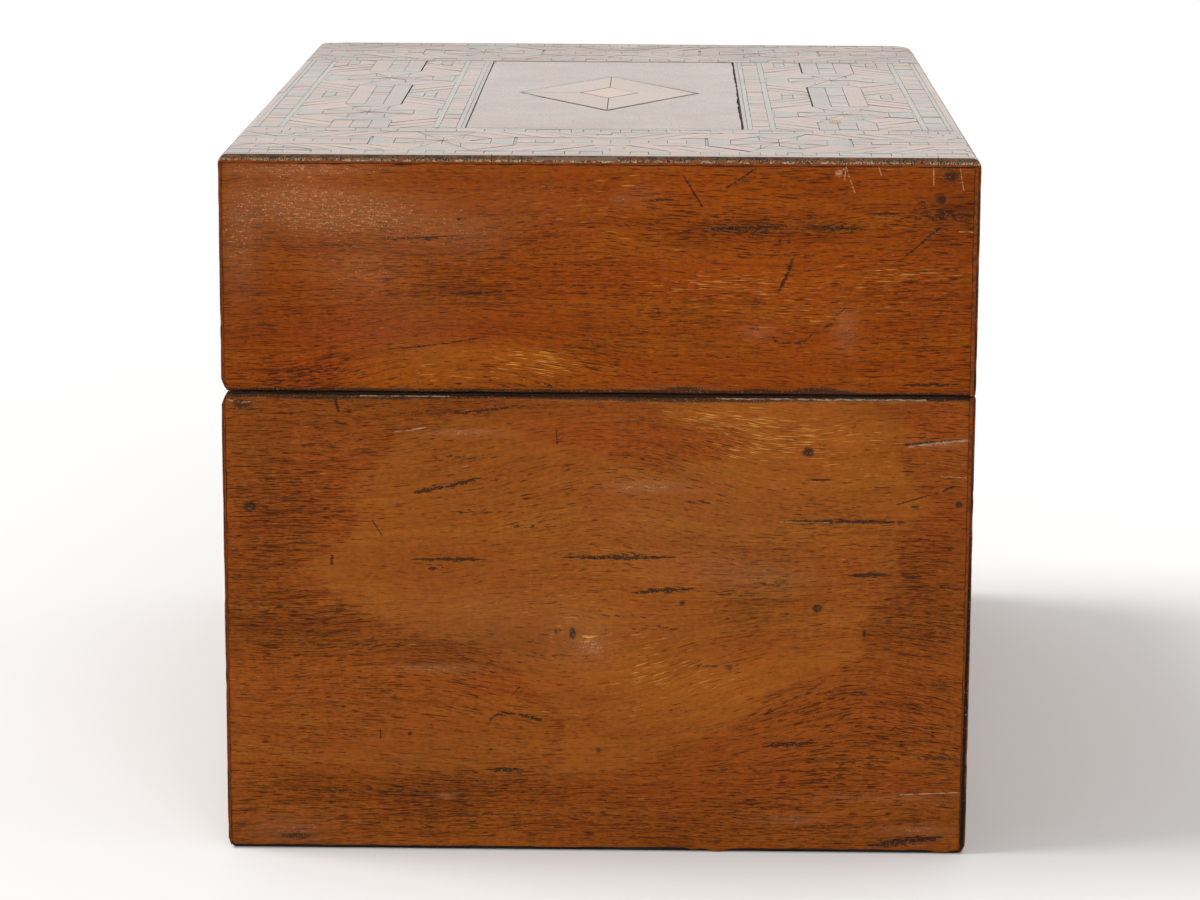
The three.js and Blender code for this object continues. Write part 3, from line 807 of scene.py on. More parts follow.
near_base_veneer = Veneer(
    11,
    marks={"dark": BASE_MARKS, "pale": BASE_SCRATCHES},
    seam=BASE_TOP,
    eyes=[(-5, 46, 18, 10, 3.4), (-4.5, 46, 5, 4, 1.6)],
    tilts=[(4, 84, 34, 14, -6.5), (58, 38, 28, 16, -8.5), (-4, 30, 26, 12, 4.0), (62, 90, 20, 8, -1.5)],
    shade=[
        (7.8, 38.7, 9, 6, 0.42), (24, 35, 12, 5, 0.38), (49, 87, 9, 3.2, 0.38),
        (26.6, 92.5, 16, 2.6, 0.35), (3.6, 56, 8, 7, 0.18), (53, 66, 9, 6, 0.15), (46, 48, 8, 6, 0.2),
        (-52, 61, 8, 5, 0.12), (28, 62, 15, 9, -0.25), (-30, 44.5, 34, 3.0, -0.42),
        (-66, 47, 14, 3.4, -0.5), (-54.6, 47.6, 6, 2.6, -0.25), (-39, 13.5, 32, 2.4, -0.38),
        (12, 5, 46, 3.4, -0.22), (-66, 3, 12, 4, -0.45), (-20, 94, 40, 2.4, -0.3), (-70, 86, 9, 9, -0.3),
        (-68, 66, 5, 26, -0.2), (66, 53, 9, 6, -0.2), (67, 11, 9, 6, -0.25), (-20, 46, 9, 6, -0.12),
        (62, 26, 14, 12, -0.05), (-52, 28, 20, 7, 0.05), (-14, 24, 18, 6, 0.1), (73, 60, 4, 40, -0.2),
    ],
    warmth=[
        (5.5, 86.5, 22, 4.5, 0.75), (-56, 75, 14, 10, 0.5), (21.9, 60, 9, 2.0, 0.6),
        (-18.8, 35.3, 22, 2.6, 0.6), (-60, 36, 16, 4, 0.4), (66, 90, 10, 4, 0.55), (68, 70, 8, 9, 0.45),
        (10, 25, 16, 4, 0.35), (62, 33, 14, 9, 0.45), (30, 14, 30, 7, 0.3), (8, 45, 12, 2, 0.45),
        (-30, 70, 16, 4, 0.25), (-40, 30, 26, 6, 0.2),
    ],
    dense=[
        (-64, 78, 12, 12, 0.45), (-66, 64, 10, 8, 0.35), (-60, 50, 16, 5, 0.4), (-40, 30, 36, 8, 0.35),
        (-30, 12, 46, 5, 0.5), (0, 4, 60, 3, 0.2), (50, 14, 26, 9, 0.35), (64, 50, 10, 16, 0.4),
        (30, 58, 16, 12, 0.4), (-12, 72, 16, 8, 0.25), (-30, 84, 12, 6, 0.3), (44, 72, 16, 5, 0.2),
        (-64, 30, 10, 24, 0.2),
    ],
    figures=[(BASE_FLAME, 1.8, 1.0), (BASE_PATCH, 2.4, 1.0), (BASE_FOOT, 5.0, 0.55)],
    pits=[
        (-28, 82.8, 9, 0.55, 0.62), (-23.9, 71.5, 7, 0.5, 0.6), (-14, 68.5, 4, 0.6, 0.6),
        (-44, 43.5, 12, 0.6, 0.6), (-4, 41.5, 16, 0.45, 0.5), (-30, 92, 9, 0.7, 0.7),
        (-16, 93.6, 7, 0.5, 0.65), (24, 39.5, 5, 0.7, 0.7), (12, 47.5, 6, 0.6, 0.6),
        (52, 34, 12, 0.4, 0.6), (30, 17.5, 14, 0.45, 0.55), (71.5, 56.5, 4, 0.7, 0.7),
        (70, 36, 5, 0.6, 0.7), (66, 66.5, 4, 0.6, 0.75), (-45, 12.5, 22, 0.5, 0.6),
        (-30, 14.8, 16, 0.4, 0.6), (-10, 7.5, 26, 0.5, 0.5), (22, 74, 6, 0.5, 0.6), (68, 47, 6, 0.5, 0.6),
        (50, 5.5, 12, 0.6, 0.6), (-62, 43.5, 10, 0.4, 0.6), (70, 20.5, 6, 0.5, 0.7),
        (28, 55, 6, 0.6, 0.65), (36, 57, 4, 0.7, 0.65), (66, 87.6, 8, 0.5, 0.7),
        (-60, 77.5, 8, 0.4, 0.55), (-62, 55, 9, 0.4, 0.55), (5, 50, 8, 0.4, 0.5), (14, 30, 8, 0.4, 0.5),
        (60, 27, 10, 0.4, 0.55), (-50, 24, 14, 0.35, 0.5), (8, 90.5, 8, 0.4, 0.5),
    ],
    haze=[
        (-18, 49, 22, 8, 0.25), (-2.4, 44.5, 6, 4.5, 0.6), (-1.2, 43.6, 1.7, 1.5, 0.9),
        (-31.9, 38.8, 8, 0.8, 0.9), (-30.8, 11.5, 2.4, 0.6, 0.95), (10, 77, 8, 1.4, 0.9),
        (69, 86.2, 6, 0.7, 0.95), (34, 58, 11, 3.0, 0.5), (-64, 4, 9, 3, 0.6), (60, 12, 16, 0.9, 0.5),
        (40, 7, 8, 0.9, 0.75), (66, 5, 8, 1.2, 0.8), (-30, 88, 5, 0.8, 0.6), (-50, 95.3, 9, 0.35, 0.9),
        (4, 95.2, 14, 0.35, 0.9), (40, 95.2, 24, 0.35, 0.85), (20, 70, 20, 9, 0.2),
        (-24, 88, 7, 0.6, 0.7), (22, 60.5, 12, 2.5, 0.35),
    ],
    # Soil: dirt spots, except the two long bands at 94.9 along the seam, which are painted shade.
    soil=[
        (-70.6, 72.2, 1.7, 1.3, 1.0), (42.5, 84.5, 1.7, 1.4, 0.95), (44.8, 51.9, 1.5, 1.1, 0.95),
        (73.2, 73.8, 1.1, 1.0, 0.85), (17.3, 52.9, 1.0, 0.8, 0.8), (50.7, 61.7, 1.2, 1.0, 0.65),
        (0.5, 21.6, 1.4, 1.0, 0.7), (-38.4, 24.7, 0.6, 0.6, 0.9), (64.3, 73.3, 1.3, 0.45, 0.9),
        (61.3, 70.0, 0.9, 1.3, 0.7), (54.5, 46.9, 0.7, 1.3, 0.8), (27.2, 39.3, 1.0, 1.1, 0.7),
        (-5.0, 46.3, 0.9, 1.7, 0.95), (-8.4, 46.7, 0.8, 1.2, 0.62), (-62, 2.6, 6, 1.1, 0.7),
        (-35.5, 71, 0.9, 0.9, 0.6), (-72, 93.5, 3, 1.6, 0.75), (-50, 94.9, 24, 0.5, 0.6),
        (20, 94.9, 30, 0.5, 0.65), (-9.5, 92, 1.1, 0.4, 0.8), (64, 58.6, 2.2, 0.6, 0.7),
        (-56.0, 85.4, 0.7, 1.0, 0.6), (16, 91.7, 1.0, 0.5, 0.5),
    ],
    gold=[
        (-7.5, 46.4, 3.4, 2.6, 0.75), (-1.6, 45.2, 1.6, 1.6, 1.0), (24, 91, 13, 3.0, 1.0),
        (42, 88, 17, 3.2, 0.95), (34, 84.5, 12, 2.0, 0.9), (10, 40, 9, 6, 0.75), (52, 81, 12, 3, 0.45),
        (22, 36, 12, 4, 0.6), (-2, 30, 12, 3, 0.4), (0, 56, 24, 8, 0.25),
    ],
    dents=[
        (-70.6, 72.2, 1.2, 0.9, 0.5), (42.5, 84.5, 1.2, 0.9, 0.25), (44.8, 51.9, 1.0, 0.7, 0.25),
        (63.7, 2.6, 7, 0.9, 0.35), (-30.5, 76.7, 5.5, 0.5, 0.12), (4.6, 62.2, 9, 0.45, 0.12),
        (-38.4, 24.7, 0.4, 0.4, 0.5), (12.8, 55.4, 3.4, 0.6, 0.15), (39.7, 23.1, 3.0, 0.4, 0.1),
    ],
)


# The photographed end of the lid: straighter grain, hazy at its upper left, with one pale arch above the
# seam.
LID_ARCH = [
    (-55, 96), (-51, 101.7), (-46, 104.3), (-40.9, 105.3), (-30.8, 106.4), (-18.8, 107), (-8.7, 106.1),
    (1.4, 103.1), (9, 96),
]
LID_MARKS = [
    ([(38.6, 122.4), (36.0, 117.0)], 0.41, 0.85),
    ([(-41.5, 105.0), (-31.8, 106.0)], 0.19, 0.85),
    ([(-33.0, 105.9), (-22.8, 107.5)], 0.19, 0.85),
    ([(61.0, 98.3), (72.5, 98.6)], 0.44, 0.85),
    ([(54.0, 133.1), (60.0, 133.2)], 0.39, 0.85),
    ([(20.0, 129.8), (38.0, 130.4)], 0.39, 0.85),
    ([(41.0, 130.2), (52.0, 130.0)], 0.39, 0.85),
    ([(9.5, 135.4), (15.0, 135.8)], 0.28, 0.85),
    ([(-28.0, 116.2), (-16.0, 117.2)], 0.28, 0.85),
    ([(-43.0, 127.2), (-28.0, 128.2)], 0.19, 0.85),
    ([(16.8, 140.6), (20.6, 134.4)], 0.24, 0),
    ([(25.5, 138.1), (31.1, 141.9)], 0.22, 0),
    ([(61.2, 124.4), (64.9, 127.6)], 0.15, 0),
    ([(64.6, 127.4), (67.9, 130.3)], 0.34, 0),
    ([(35.1, 108.0), (35.7, 106.8), (40.9, 106.8), (42.9, 108.5)], 0.22, 0),
    ([(45.5, 110.1), (46.9, 110.8)], 0.25, 0),
    ([(38.9, 124.1), (37.5, 120.4)], 0.22, 0),
    ([(-11.5, 98.6), (-9.5, 97.6)], 0.22, 0),
    ([(47.6, 112.4), (49.6, 114.0)], 0.12, 0),
]
LID_SCRATCHES = [
    ([(49.2, 142.4), (51.0, 137.3)], 0.16, 0),
    ([(66.6, 142.4), (66.7, 138.9)], 0.13, 0),
    ([(71.9, 142.2), (72.7, 137.8)], 0.12, 0),
    ([(55.7, 142.4), (56.3, 140.7)], 0.11, 0),
    ([(72.0, 129.6), (75.5, 129.5)], 0.14, 0),
    ([(47.7, 141.2), (47.9, 141.2)], 0.75, 0),
]
near_lid_veneer = Veneer(
    23,
    marks={"dark": LID_MARKS, "pale": LID_SCRATCHES},
    seam=LID_BOTTOM,
    tilts=[(-20, 103, 30, 9, -4.0), (50, 104, 30, 10, 1.2), (-60, 112, 16, 14, 1.0)],
    figures=[(LID_ARCH, 2.6, 0.5)],
    shade=[
        (-14.7, 104.3, 9, 1.8, 0.4), (-6, 101, 16, 4, 0.12), (58, 121, 14, 5, 0.42),
        (30, 120, 16, 4, 0.2), (17, 138, 9, 1.2, 0.4), (21, 135.5, 22, 4, 0.15), (6, 113, 22, 6, 0.12),
        (-40, 119, 12, 7, 0.15), (-70, 118, 7, 24, -0.35), (-70, 138, 9, 6, -0.3),
        (36, 130, 20, 2.2, -0.42), (20, 132, 12, 2, -0.2), (70, 136, 7, 7, -0.75), (66, 126, 6, 6, -0.15),
        (-30, 109.2, 26, 1.3, -0.35), (-35, 116, 16, 3, -0.3), (0, 97.2, 60, 1.2, -0.35),
        (74, 112, 3, 20, -0.3), (-50, 97, 14, 2, -0.25), (-28, 131, 26, 2, -0.15), (32, 107, 20, 4, 0.05),
        (56, 106, 14, 5, 0.08),
    ],
    warmth=[
        (-54, 101, 14, 4, 0.9), (-24.8, 109, 24, 2.0, 0.5), (-62, 114, 14, 8, 0.35), (30, 126, 30, 8, 0.2),
        (20, 100, 16, 2.5, 0.3), (66, 100, 10, 4, 0.35), (5, 120, 26, 3, 0.25), (60, 110, 16, 5, 0.25),
    ],
    dense=[
        (-50, 126, 14, 8, 0.2), (29, 130, 16, 4, 0.45), (47, 130, 9, 3, 0.35), (66, 132, 9, 4, 0.4),
        (-60, 99, 12, 4, 0.5), (-20, 122, 26, 6, 0.2), (60, 118, 14, 8, 0.15), (-26, 116, 14, 4, 0.3),
        (10, 106, 26, 4, 0.2),
    ],
    pits=[
        (29, 129.5, 11, 1.2, 0.75), (47, 130.2, 8, 0.9, 0.7), (68.4, 132.8, 8, 1.6, 0.8),
        (-52, 126, 9, 0.4, 0.62), (-35, 127.5, 14, 0.5, 0.62), (-26, 116.5, 6, 0.6, 0.7),
        (-6, 122.5, 12, 0.4, 0.5), (-58, 100.5, 11, 1.0, 0.65), (36, 124.6, 9, 0.4, 0.6),
        (6, 130.5, 8, 0.4, 0.5), (31.5, 115.2, 1.4, 0.8, 0.75), (-2, 118, 20, 0.4, 0.5),
        (20, 104, 14, 0.4, 0.45), (-50, 111, 12, 0.5, 0.5), (58, 108, 10, 0.4, 0.5),
        (30, 139.5, 9, 0.4, 0.45), (-10, 138, 14, 0.4, 0.5), (70, 122, 5, 0.5, 0.55),
        (-62, 98.5, 8, 0.4, 0.7),
    ],
    haze=[
        (-51, 133, 12, 5.5, 1.0), (-62, 135, 9, 7, 0.75), (-72, 128, 4.5, 14, 0.75),
        (-36, 131, 12, 6, 0.55), (-26, 128, 8, 4, 0.45), (-48, 121, 10, 5, 0.55), (-40, 110, 14, 8, 0.3),
        (-14, 134, 12, 6, 0.25), (49.5, 109.6, 2.5, 4, 0.7), (-57, 141.3, 16, 1.0, 0.95),
        (32, 109, 4, 1.5, 0.6), (8, 137, 3, 2, 0.4), (16, 97, 9, 1.0, 0.6), (48, 96.9, 6, 0.8, 0.6),
        (4, 135.6, 2.0, 1.4, 0.6),
    ],
    # Soil: dirt spots, except the long band at 96.7 along the seam, which is painted shade.
    soil=[
        (70.1, 140.6, 2.2, 1.5, 0.75), (68.2, 136.0, 1.5, 1.3, 0.85), (64.6, 135.3, 0.9, 0.8, 0.85),
        (36.2, 127.5, 0.5, 0.5, 1.0), (38.0, 127.3, 0.5, 0.5, 1.0), (31.4, 114.1, 0.9, 1.2, 0.5),
        (66.2, 111.8, 2.0, 1.0, 0.5), (68.2, 113.4, 2.0, 1.0, 0.5), (69.8, 115.0, 2.0, 1.0, 0.5),
        (-5, 96.7, 44, 0.45, 0.6), (17, 97.2, 6, 0.8, 0.75), (32, 97.0, 5, 0.7, 0.75),
        (44, 97.2, 6, 0.8, 0.8), (70.5, 127, 1.1, 1.0, 0.6), (70.3, 119.5, 1.2, 1.2, 0.55),
        (-28, 131.5, 0.5, 0.5, 0.9), (-1, 121, 0.5, 0.5, 0.8), (-12.5, 119, 0.5, 0.5, 0.7),
        (-18, 136, 0.4, 0.4, 0.9), (8, 128, 0.3, 0.4, 0.8),
    ],
    gold=[
        (-11.3, 104.2, 10, 2.2, 1.0), (-30.9, 99.8, 10, 2.0, 0.85), (24, 118.5, 16, 3.0, 0.8),
        (-2, 135, 14, 4, 0.5), (40, 112, 22, 4, 0.55), (-14, 101.5, 10, 2.4, 0.8), (8, 126, 18, 5, 0.45),
        (50, 118, 20, 5, 0.45), (8, 139.5, 10, 1.5, 0.6), (62, 121, 12, 3, 0.5),
    ],
    dents=[(37.2, 119, 0.8, 1.8, 0.12), (56.9, 133.1, 1.6, 0.5, 0.1), (68.2, 136, 0.8, 0.7, 0.1)],
)

far_base_veneer = Veneer(
    31, eyes=[(22, 52, 30, 18, 6.0)], tilts=[(-30, 30, 30, 14, 3.0)],
    shade=[(10, 56, 40, 24, 0.25), (0, 6, 70, 8, -0.3)],
    warmth=[(-50, 60, 26, 26, 0.6), (50, 20, 30, 16, 0.5)],
    pits=[(20, 60, 7, 0.6, 0.8), (-34, 34, 6, 0.6, 0.7)],
    haze=[(-20, 30, 20, 10, 0.25)], soil=[(60, 3, 9, 1.0, 0.6), (-66, 3, 7, 1.0, 0.6)],
    gold=[(-10, 84, 20, 4, 0.5)],
)
far_lid_veneer = Veneer(
    37, eyes=[(30, 118, 24, 10, 3.0)], shade=[(0, 122, 40, 12, 0.2)], warmth=[(-50, 120, 26, 16, 0.5)],
    pits=[(-20, 130, 8, 0.6, 0.6), (34, 108, 6, 0.5, 0.7)], haze=[(50, 134, 16, 7, 0.4)],
    gold=[(0, 112, 26, 5, 0.4)],
)
side_veneers = {
    ("base", "back"): Veneer(41, eyes=[(-30, 50, 40, 18, 6.0)], shade=[(0, 8, 110, 10, -0.3)],
                             warmth=[(40, 50, 40, 30, 0.5)], haze=[(60, 80, 24, 8, 0.3)],
                             soil=[(0, 1.5, 120, 0.8, 0.5)]),
    ("base", "front"): Veneer(43, eyes=[(36, 46, 46, 20, 8.0), (-60, 60, 26, 14, 4.0)],
                              shade=[(0, 50, 60, 26, 0.2)],
                              warmth=[(-50, 40, 40, 30, 0.5)],
                              pits=[(10, 70, 8, 0.7, 0.8), (-44, 30, 7, 0.6, 0.7)],
                              haze=[(-20, 20, 26, 8, 0.3)], gold=[(30, 86, 26, 4, 0.6)],
                              soil=[(0, 1.5, 120, 0.8, 0.5)]),
    ("lid", "back"): Veneer(47, eyes=[(20, 120, 40, 12, 3.0)], warmth=[(-40, 120, 40, 20, 0.5)],
                            haze=[(70, 134, 20, 6, 0.4)]),
    ("lid", "front"): Veneer(53, eyes=[(-36, 118, 40, 12, 4.0)], warmth=[(40, 120, 40, 20, 0.5)],
                             pits=[(-20, 108, 7, 0.6, 0.7)], haze=[(30, 136, 26, 5, 0.35)],
                             gold=[(-10, 112, 30, 5, 0.5)]),
}

WALNUT_TONES = linear(138, 70, 18), linear(92, 43, 11), linear(148, 84, 26), linear(146, 64, 16)
LID_TONES = linear(138, 63, 5), linear(96, 40, 4), linear(150, 80, 12), linear(146, 58, 6)

near_base_walnut = walnut("near_base_walnut", *WALNUT_TONES, marked=True)
near_lid_walnut = walnut("near_lid_walnut", *LID_TONES, marked=True)
plain_walnut = walnut("side_walnut", linear(130, 64, 16), linear(74, 34, 9), linear(156, 90, 30),
                      linear(140, 60, 15))


def bevel_cut(a):
    """How far the hinge bevel, which lets the lid turn, has taken back the seam's edge at the hinged
    corner."""
    return np.clip(BEVEL_HEIGHT - (a - LEFT) / BEVEL_SLOPE, 0, None)


def near_seam_wave(a, b):
    """The photographed arrises wander a little: the seam is worn wide, and the bottom edge is worn up
    except where lumps of old glue reach down to the table."""
    from_top = np.exp(-(BASE_TOP - b) / 1.2)
    from_bottom = np.exp(-b / 1.2)
    seam = -0.24 - 0.1 * np.exp(-((a - 25) / 50) ** 2) - 0.05 * smooth_noise(a, b * 0, 4, 71) - bevel_cut(a)
    lumps = np.exp(-((a - 25) / 2.2) ** 2) + 0.8 * np.exp(-((a - 71) / 2.0) ** 2)
    lumps = lumps + 0.6 * np.exp(-((a - 20) / 1.2) ** 2)
    corners = rounding(a - LEFT, LONG_ROUND) + rounding(RIGHT - a, LONG_ROUND)
    bottom = 0.75 - 0.7 * np.clip(lumps, 0, 1) + 0.08 * smooth_noise(a, b * 0, 5, 72) + corners
    return seam * from_top + bottom * from_bottom


def lid_seam_wave(a, b):
    from_bottom = np.exp(-(b - LID_BOTTOM) / 1.2)
    return (0.14 + 0.07 * smooth_noise(a, b * 0, 5, 73) + bevel_cut(a)) * from_bottom


def far_seam_wave(a, b):
    corners = rounding(a - LEFT, LONG_ROUND) + rounding(RIGHT - a, LONG_ROUND)
    return (0.4 + corners) * np.exp(-b / 1.2) - bevel_cut(a) * np.exp(-(BASE_TOP - b) / 1.2)


def hinge_notch(level, depth, sign):
    """Lowers or lifts the hinged edge of a back veneer along the knuckles of both hinges."""
    spans = [(span(f"hinge_{k}_pin")[0][1], span(f"hinge_{k}_pin")[1][1]) for k in (1, 2)]

    def shift(a, b):
        inside = np.zeros_like(a)
        for low, high in spans:
            inside = np.maximum(inside, ((a > low - 0.1) & (a < high + 0.1)).astype(float))
        return sign * depth * inside * np.exp(-np.abs(level - b) / 0.8)

    edges = [edge for low, high in spans for edge in (low - 0.1, high + 0.1)]
    stations = [edge + side * 0.02 for edge in edges for side in (-1, 1)]
    return shift, stations


def lay_veneers():
    end_range = (end_low[0], end_high[0])
    bevel_stations = (LEFT + 0.95, LEFT + 1.1, LEFT + 1.2, LEFT + 1.4)
    side_range = (NEAR, FAR)
    for end, base_veneer, lid_veneer, base_finish, lid_finish, step in (
        ("near", near_base_veneer, near_lid_veneer, near_base_walnut, near_lid_walnut, 0.45),
        ("far", far_base_veneer, far_lid_veneer, plain_walnut, plain_walnut, 1.1),
    ):
        base_wave = near_seam_wave if end == "near" else far_seam_wave
        veneer_sheet(f"base_{end}_end_sheet", base_veneer, END_AXES[end], end_range, (0.0, BASE_TOP), FAR,
                     END_THICKNESS, step, "box", [f"base_{end}_end_veneer"], base_finish,
                     flat_profile, 0.4, base_wave, bevel_stations)
        veneer_sheet(f"lid_{end}_end_sheet", lid_veneer, END_AXES[end], end_range,
                     (LID_BOTTOM, VENEER_TOP), FAR,
                     END_THICKNESS, step, "lid", [f"lid_{end}_end_veneer"], lid_finish,
                     flat_profile, 0.4, lid_seam_wave, bevel_stations)
    profiles = {
        ("base", "back"): base_back_profile, ("base", "front"): base_front_profile,
        ("lid", "back"): lid_back_profile, ("lid", "front"): lid_front_profile,
    }
    for (part, side), veneer in side_veneers.items():
        low, high = span(f"{part}_{side}_veneer")
        thickness = high[0] - low[0]
        b_range = (low[2] + 0.02, high[2] - 0.02)
        shift, stations = None, ()
        if side == "back":
            level, sign = (b_range[1], -1) if part == "base" else (b_range[0], 1)
            shift, stations = hinge_notch(level, 1.05, sign)
        veneer_sheet(f"{part}_{side}_sheet", veneer, SIDE_AXES[side], side_range, b_range, RIGHT,
                     thickness, 1.3,
                     "box" if part == "base" else "lid", [f"{part}_{side}_veneer"], plain_walnut,
                     profiles[part, side], 0.3, shift, stations, long_edge)


lay_veneers()


# Parquetry

WOODS = {
    "rose": (168, 110, 84), "pink": (180, 122, 98), "satin": (180, 134, 104), "holly": (170, 146, 122),
    "grey": (130, 117, 104), "slate": (136, 120, 104), "ebony": (34, 28, 26),
    "plum": (146, 108, 90), "tan": (166, 120, 90), "heart": (208, 148, 118), "string": (140, 134, 124),
}
GAP = 0.05
STRIP = 3.4
THIN_STRING = 0.9
OUTER_LADDER = 4.2
OUTER_STRING = 1.2
INNER_STRING = 1.2
INNER_LADDER = 3.7
LAST_STRING = 1.0
LAST_EDGE = 0.9
MEDALLION_HALF = 15.1
PITCH = 69.0


def clip(polygon, point, normal):
    """The part of a convex polygon on the side that the normal points away from."""
    if len(polygon) < 3:
        return polygon
    heights = (polygon - point) @ normal
    kept = []
    for k in range(len(polygon)):
        here, there = polygon[k], polygon[(k + 1) % len(polygon)]
        h, g = heights[k], heights[(k + 1) % len(polygon)]
        if h <= 0:
            kept.append(here)
        if (h < 0 < g) or (g < 0 < h):
            kept.append(here + (there - here) * (h / (h - g)))
    return np.array(kept).reshape(-1, 2)


def shrink(polygon, gap):
    """The polygon with each side moved inwards by the gap."""
    centre = polygon.mean(0)
    result = polygon
    for k in range(len(polygon)):
        side = polygon[(k + 1) % len(polygon)] - polygon[k]
        length = np.hypot(*side)
        if length < 1e-6:
            continue
        normal = np.array([side[1], -side[0]]) / length
        if (centre - polygon[k]) @ normal > 0:
            normal = -normal
        result = clip(result, polygon[k] - normal * gap, normal)
        if len(result) < 3:
            return result
    return result


def anticlockwise(polygon):
    x, y = polygon[:, 0], polygon[:, 1]
    area = (x * np.roll(y, -1) - y * np.roll(x, -1)).sum()
    return polygon if area > 0 else polygon[::-1]


def top_level(x, y):
    """The lid's top: flat, rounded over at the long edges, just eased at the ends, and worn at the far
    corners."""
    level = TOP - rounding(RIGHT - np.abs(x), LONG_ROUND) - rounding(FAR - np.abs(y), END_ROUND)
    right = np.hypot(x - (RIGHT - 7), y - (FAR - 8)) * ((x > RIGHT - 7) | (y > FAR - 8))
    left = np.hypot(x - (LEFT + 4), y - (FAR - 5)) * ((x < LEFT + 4) | (y > FAR - 5))
    level = level - np.where((x > RIGHT - 9) & (y > FAR - 12), np.clip(right - 6.2, 0, 5) * 0.28, 0)
    level = level - np.where((x < LEFT + 6) & (y > FAR - 8), np.clip(left - 3.4, 0, 5) * 0.22, 0)
    back_nicks = np.exp(-((y + 14) / 12) ** 4) * np.clip(1 - (x - LEFT) / 1.6, 0, 1)
    front_nicks = np.exp(-((y + 38) / 24) ** 4) * np.clip(1 - (RIGHT - x) / 1.6, 0, 1)
    return level - (back_nicks + front_nicks) * 0.5 * (1 + smooth_noise(y, y * 0, 1.7, 95))


# Where tiles are cut to follow the rounded edges: distances in from the long sides and from the ends
FROM_SIDES = np.array([0.08, 0.25, 0.55, 0.95, 1.45, 2.0, 4.0, 7.0])
FROM_ENDS = np.array([0.06, 0.25, 0.55, 0.9, 3.0, 6.0])
STATIONS = {
    0: np.concatenate([side * (RIGHT - FROM_SIDES) for side in (-1, 1)]),
    1: np.concatenate([side * (FAR - FROM_ENDS) for side in (-1, 1)]),
}
WORN_EDGE = 0.85


class TileSheet:
    """Tiles of one sheet of inlay, gathered into one mesh: each is a convex plan shape carried down to the
    ground."""

    def __init__(self, seed):
        self.random = np.random.default_rng(seed)
        self.points = []
        self.faces = {}
        self.colours = []
        self.grain = []
        self.count = 0

    def add(self, polygon, wood, angle=0.0, gap=GAP, sink=0.0):
        random = self.random
        tone = random.uniform(0.84, 1.12)
        tint = tone * np.array([1, random.uniform(0.94, 1.04), random.uniform(0.86, 1.01)])
        colour = np.append(np.array(linear(*WOODS[wood])[:3]) * tint, 1.0)
        drop = random.uniform(0.0, 0.05) + sink
        tilt = random.normal(0, 0.0035, 2)
        offset = random.uniform(0, 500, 2)
        outline = shrink(anticlockwise(np.array(polygon, float)), gap * random.uniform(0.6, 1.6))
        if len(outline) < 3:
            return
        for side in (np.array([1.0, 0]), np.array([-1.0, 0])):
            outline = clip(outline, side * (RIGHT - 0.03), side)
        for side in (np.array([0, 1.0]), np.array([0, -1.0])):
            outline = clip(outline, side * FAR, side)
        if len(outline) < 3:
            return
        centre = outline.mean(0)
        tilt = tilt * min(1.0, 8.0 / np.ptp(outline, axis=0).max())
        cells = [outline]
        for axis, stations in STATIONS.items():
            normal = np.eye(2)[axis]
            for station in stations:
                if outline[:, axis].min() < station - 1e-4 < station + 1e-4 < outline[:, axis].max():
                    cells = [part for cell in cells for part in (clip(cell, normal * station, normal),
                                                                 clip(cell, normal * station, -normal))]
        cells = [cell for cell in cells if len(cell) > 2]
        keys, plan = {}, []

        def number(point):
            key = (round(point[0], 4), round(point[1], 4))
            if key not in keys:
                keys[key] = len(plan)
                plan.append(point)
            return keys[key]

        top_faces = []
        for cell in cells:
            ring = [number(point) for point in cell]
            ring = [r for k, r in enumerate(ring) if r != ring[k - 1]]
            if len(ring) > 2:
                top_faces.append(ring)
        edges = {(ring[k - 1], ring[k]) for ring in top_faces for k in range(len(ring))}
        border = {start: end for start, end in edges if (end, start) not in edges}
        plan = np.array(plan)
        level = np.minimum(top_level(plan[:, 0], plan[:, 1]) - drop + (plan - centre) @ tilt, TOP - 0.005)
        level = np.maximum(level, TILE_BOTTOM + 0.06)
        count = len(plan)
        turn = np.array([[math.cos(angle), math.sin(angle)], [-math.sin(angle), math.cos(angle)]])
        grain = (plan @ turn.T) + offset
        base = self.count
        self.points.append(np.column_stack([plan, level]))
        self.points.append(np.column_stack([plan, level]))
        self.points.append(np.column_stack([plan, np.full(count, TILE_BOTTOM)]))
        self.grain.append(np.concatenate([grain] * 3))
        self.colours.append(np.tile(colour, (3 * count, 1)))
        for ring in top_faces:
            middle = plan[ring].mean(0)
            worn = abs(middle[1]) > FAR - WORN_EDGE or abs(middle[0]) > RIGHT - 0.5
            self.faces.setdefault((len(ring), 1 if worn else 0), []).append([base + r for r in ring])
            self.faces.setdefault((len(ring), 2), []).append([base + 2 * count + r for r in ring[::-1]])
        for start, end in border.items():
            middle = (plan[start] + plan[end]) / 2
            outer = abs(middle[0]) > RIGHT - 0.1 or abs(middle[1]) > FAR - 0.1
            upper, lower = base + count, base + 2 * count
            wall = [upper + start, lower + start, lower + end, upper + end]
            self.faces.setdefault((4, 1 if outer else 2), []).append(wall)
        self.count += 3 * count

    def finish(self, name, materials, replaced):
        groups, index = [], []
        for (_, material), faces in self.faces.items():
            groups.append(np.array(faces))
            index.append(np.full(len(faces), material))
        points = np.concatenate(self.points)
        fields = {"wood_colour": np.concatenate(self.colours)}
        smooth = np.zeros(sum(len(group) for group in groups), bool)
        piece = make_piece(name, points, groups, "lid", materials, replaced, fields,
                           np.concatenate(self.grain), np.concatenate(index), smooth)
        return piece


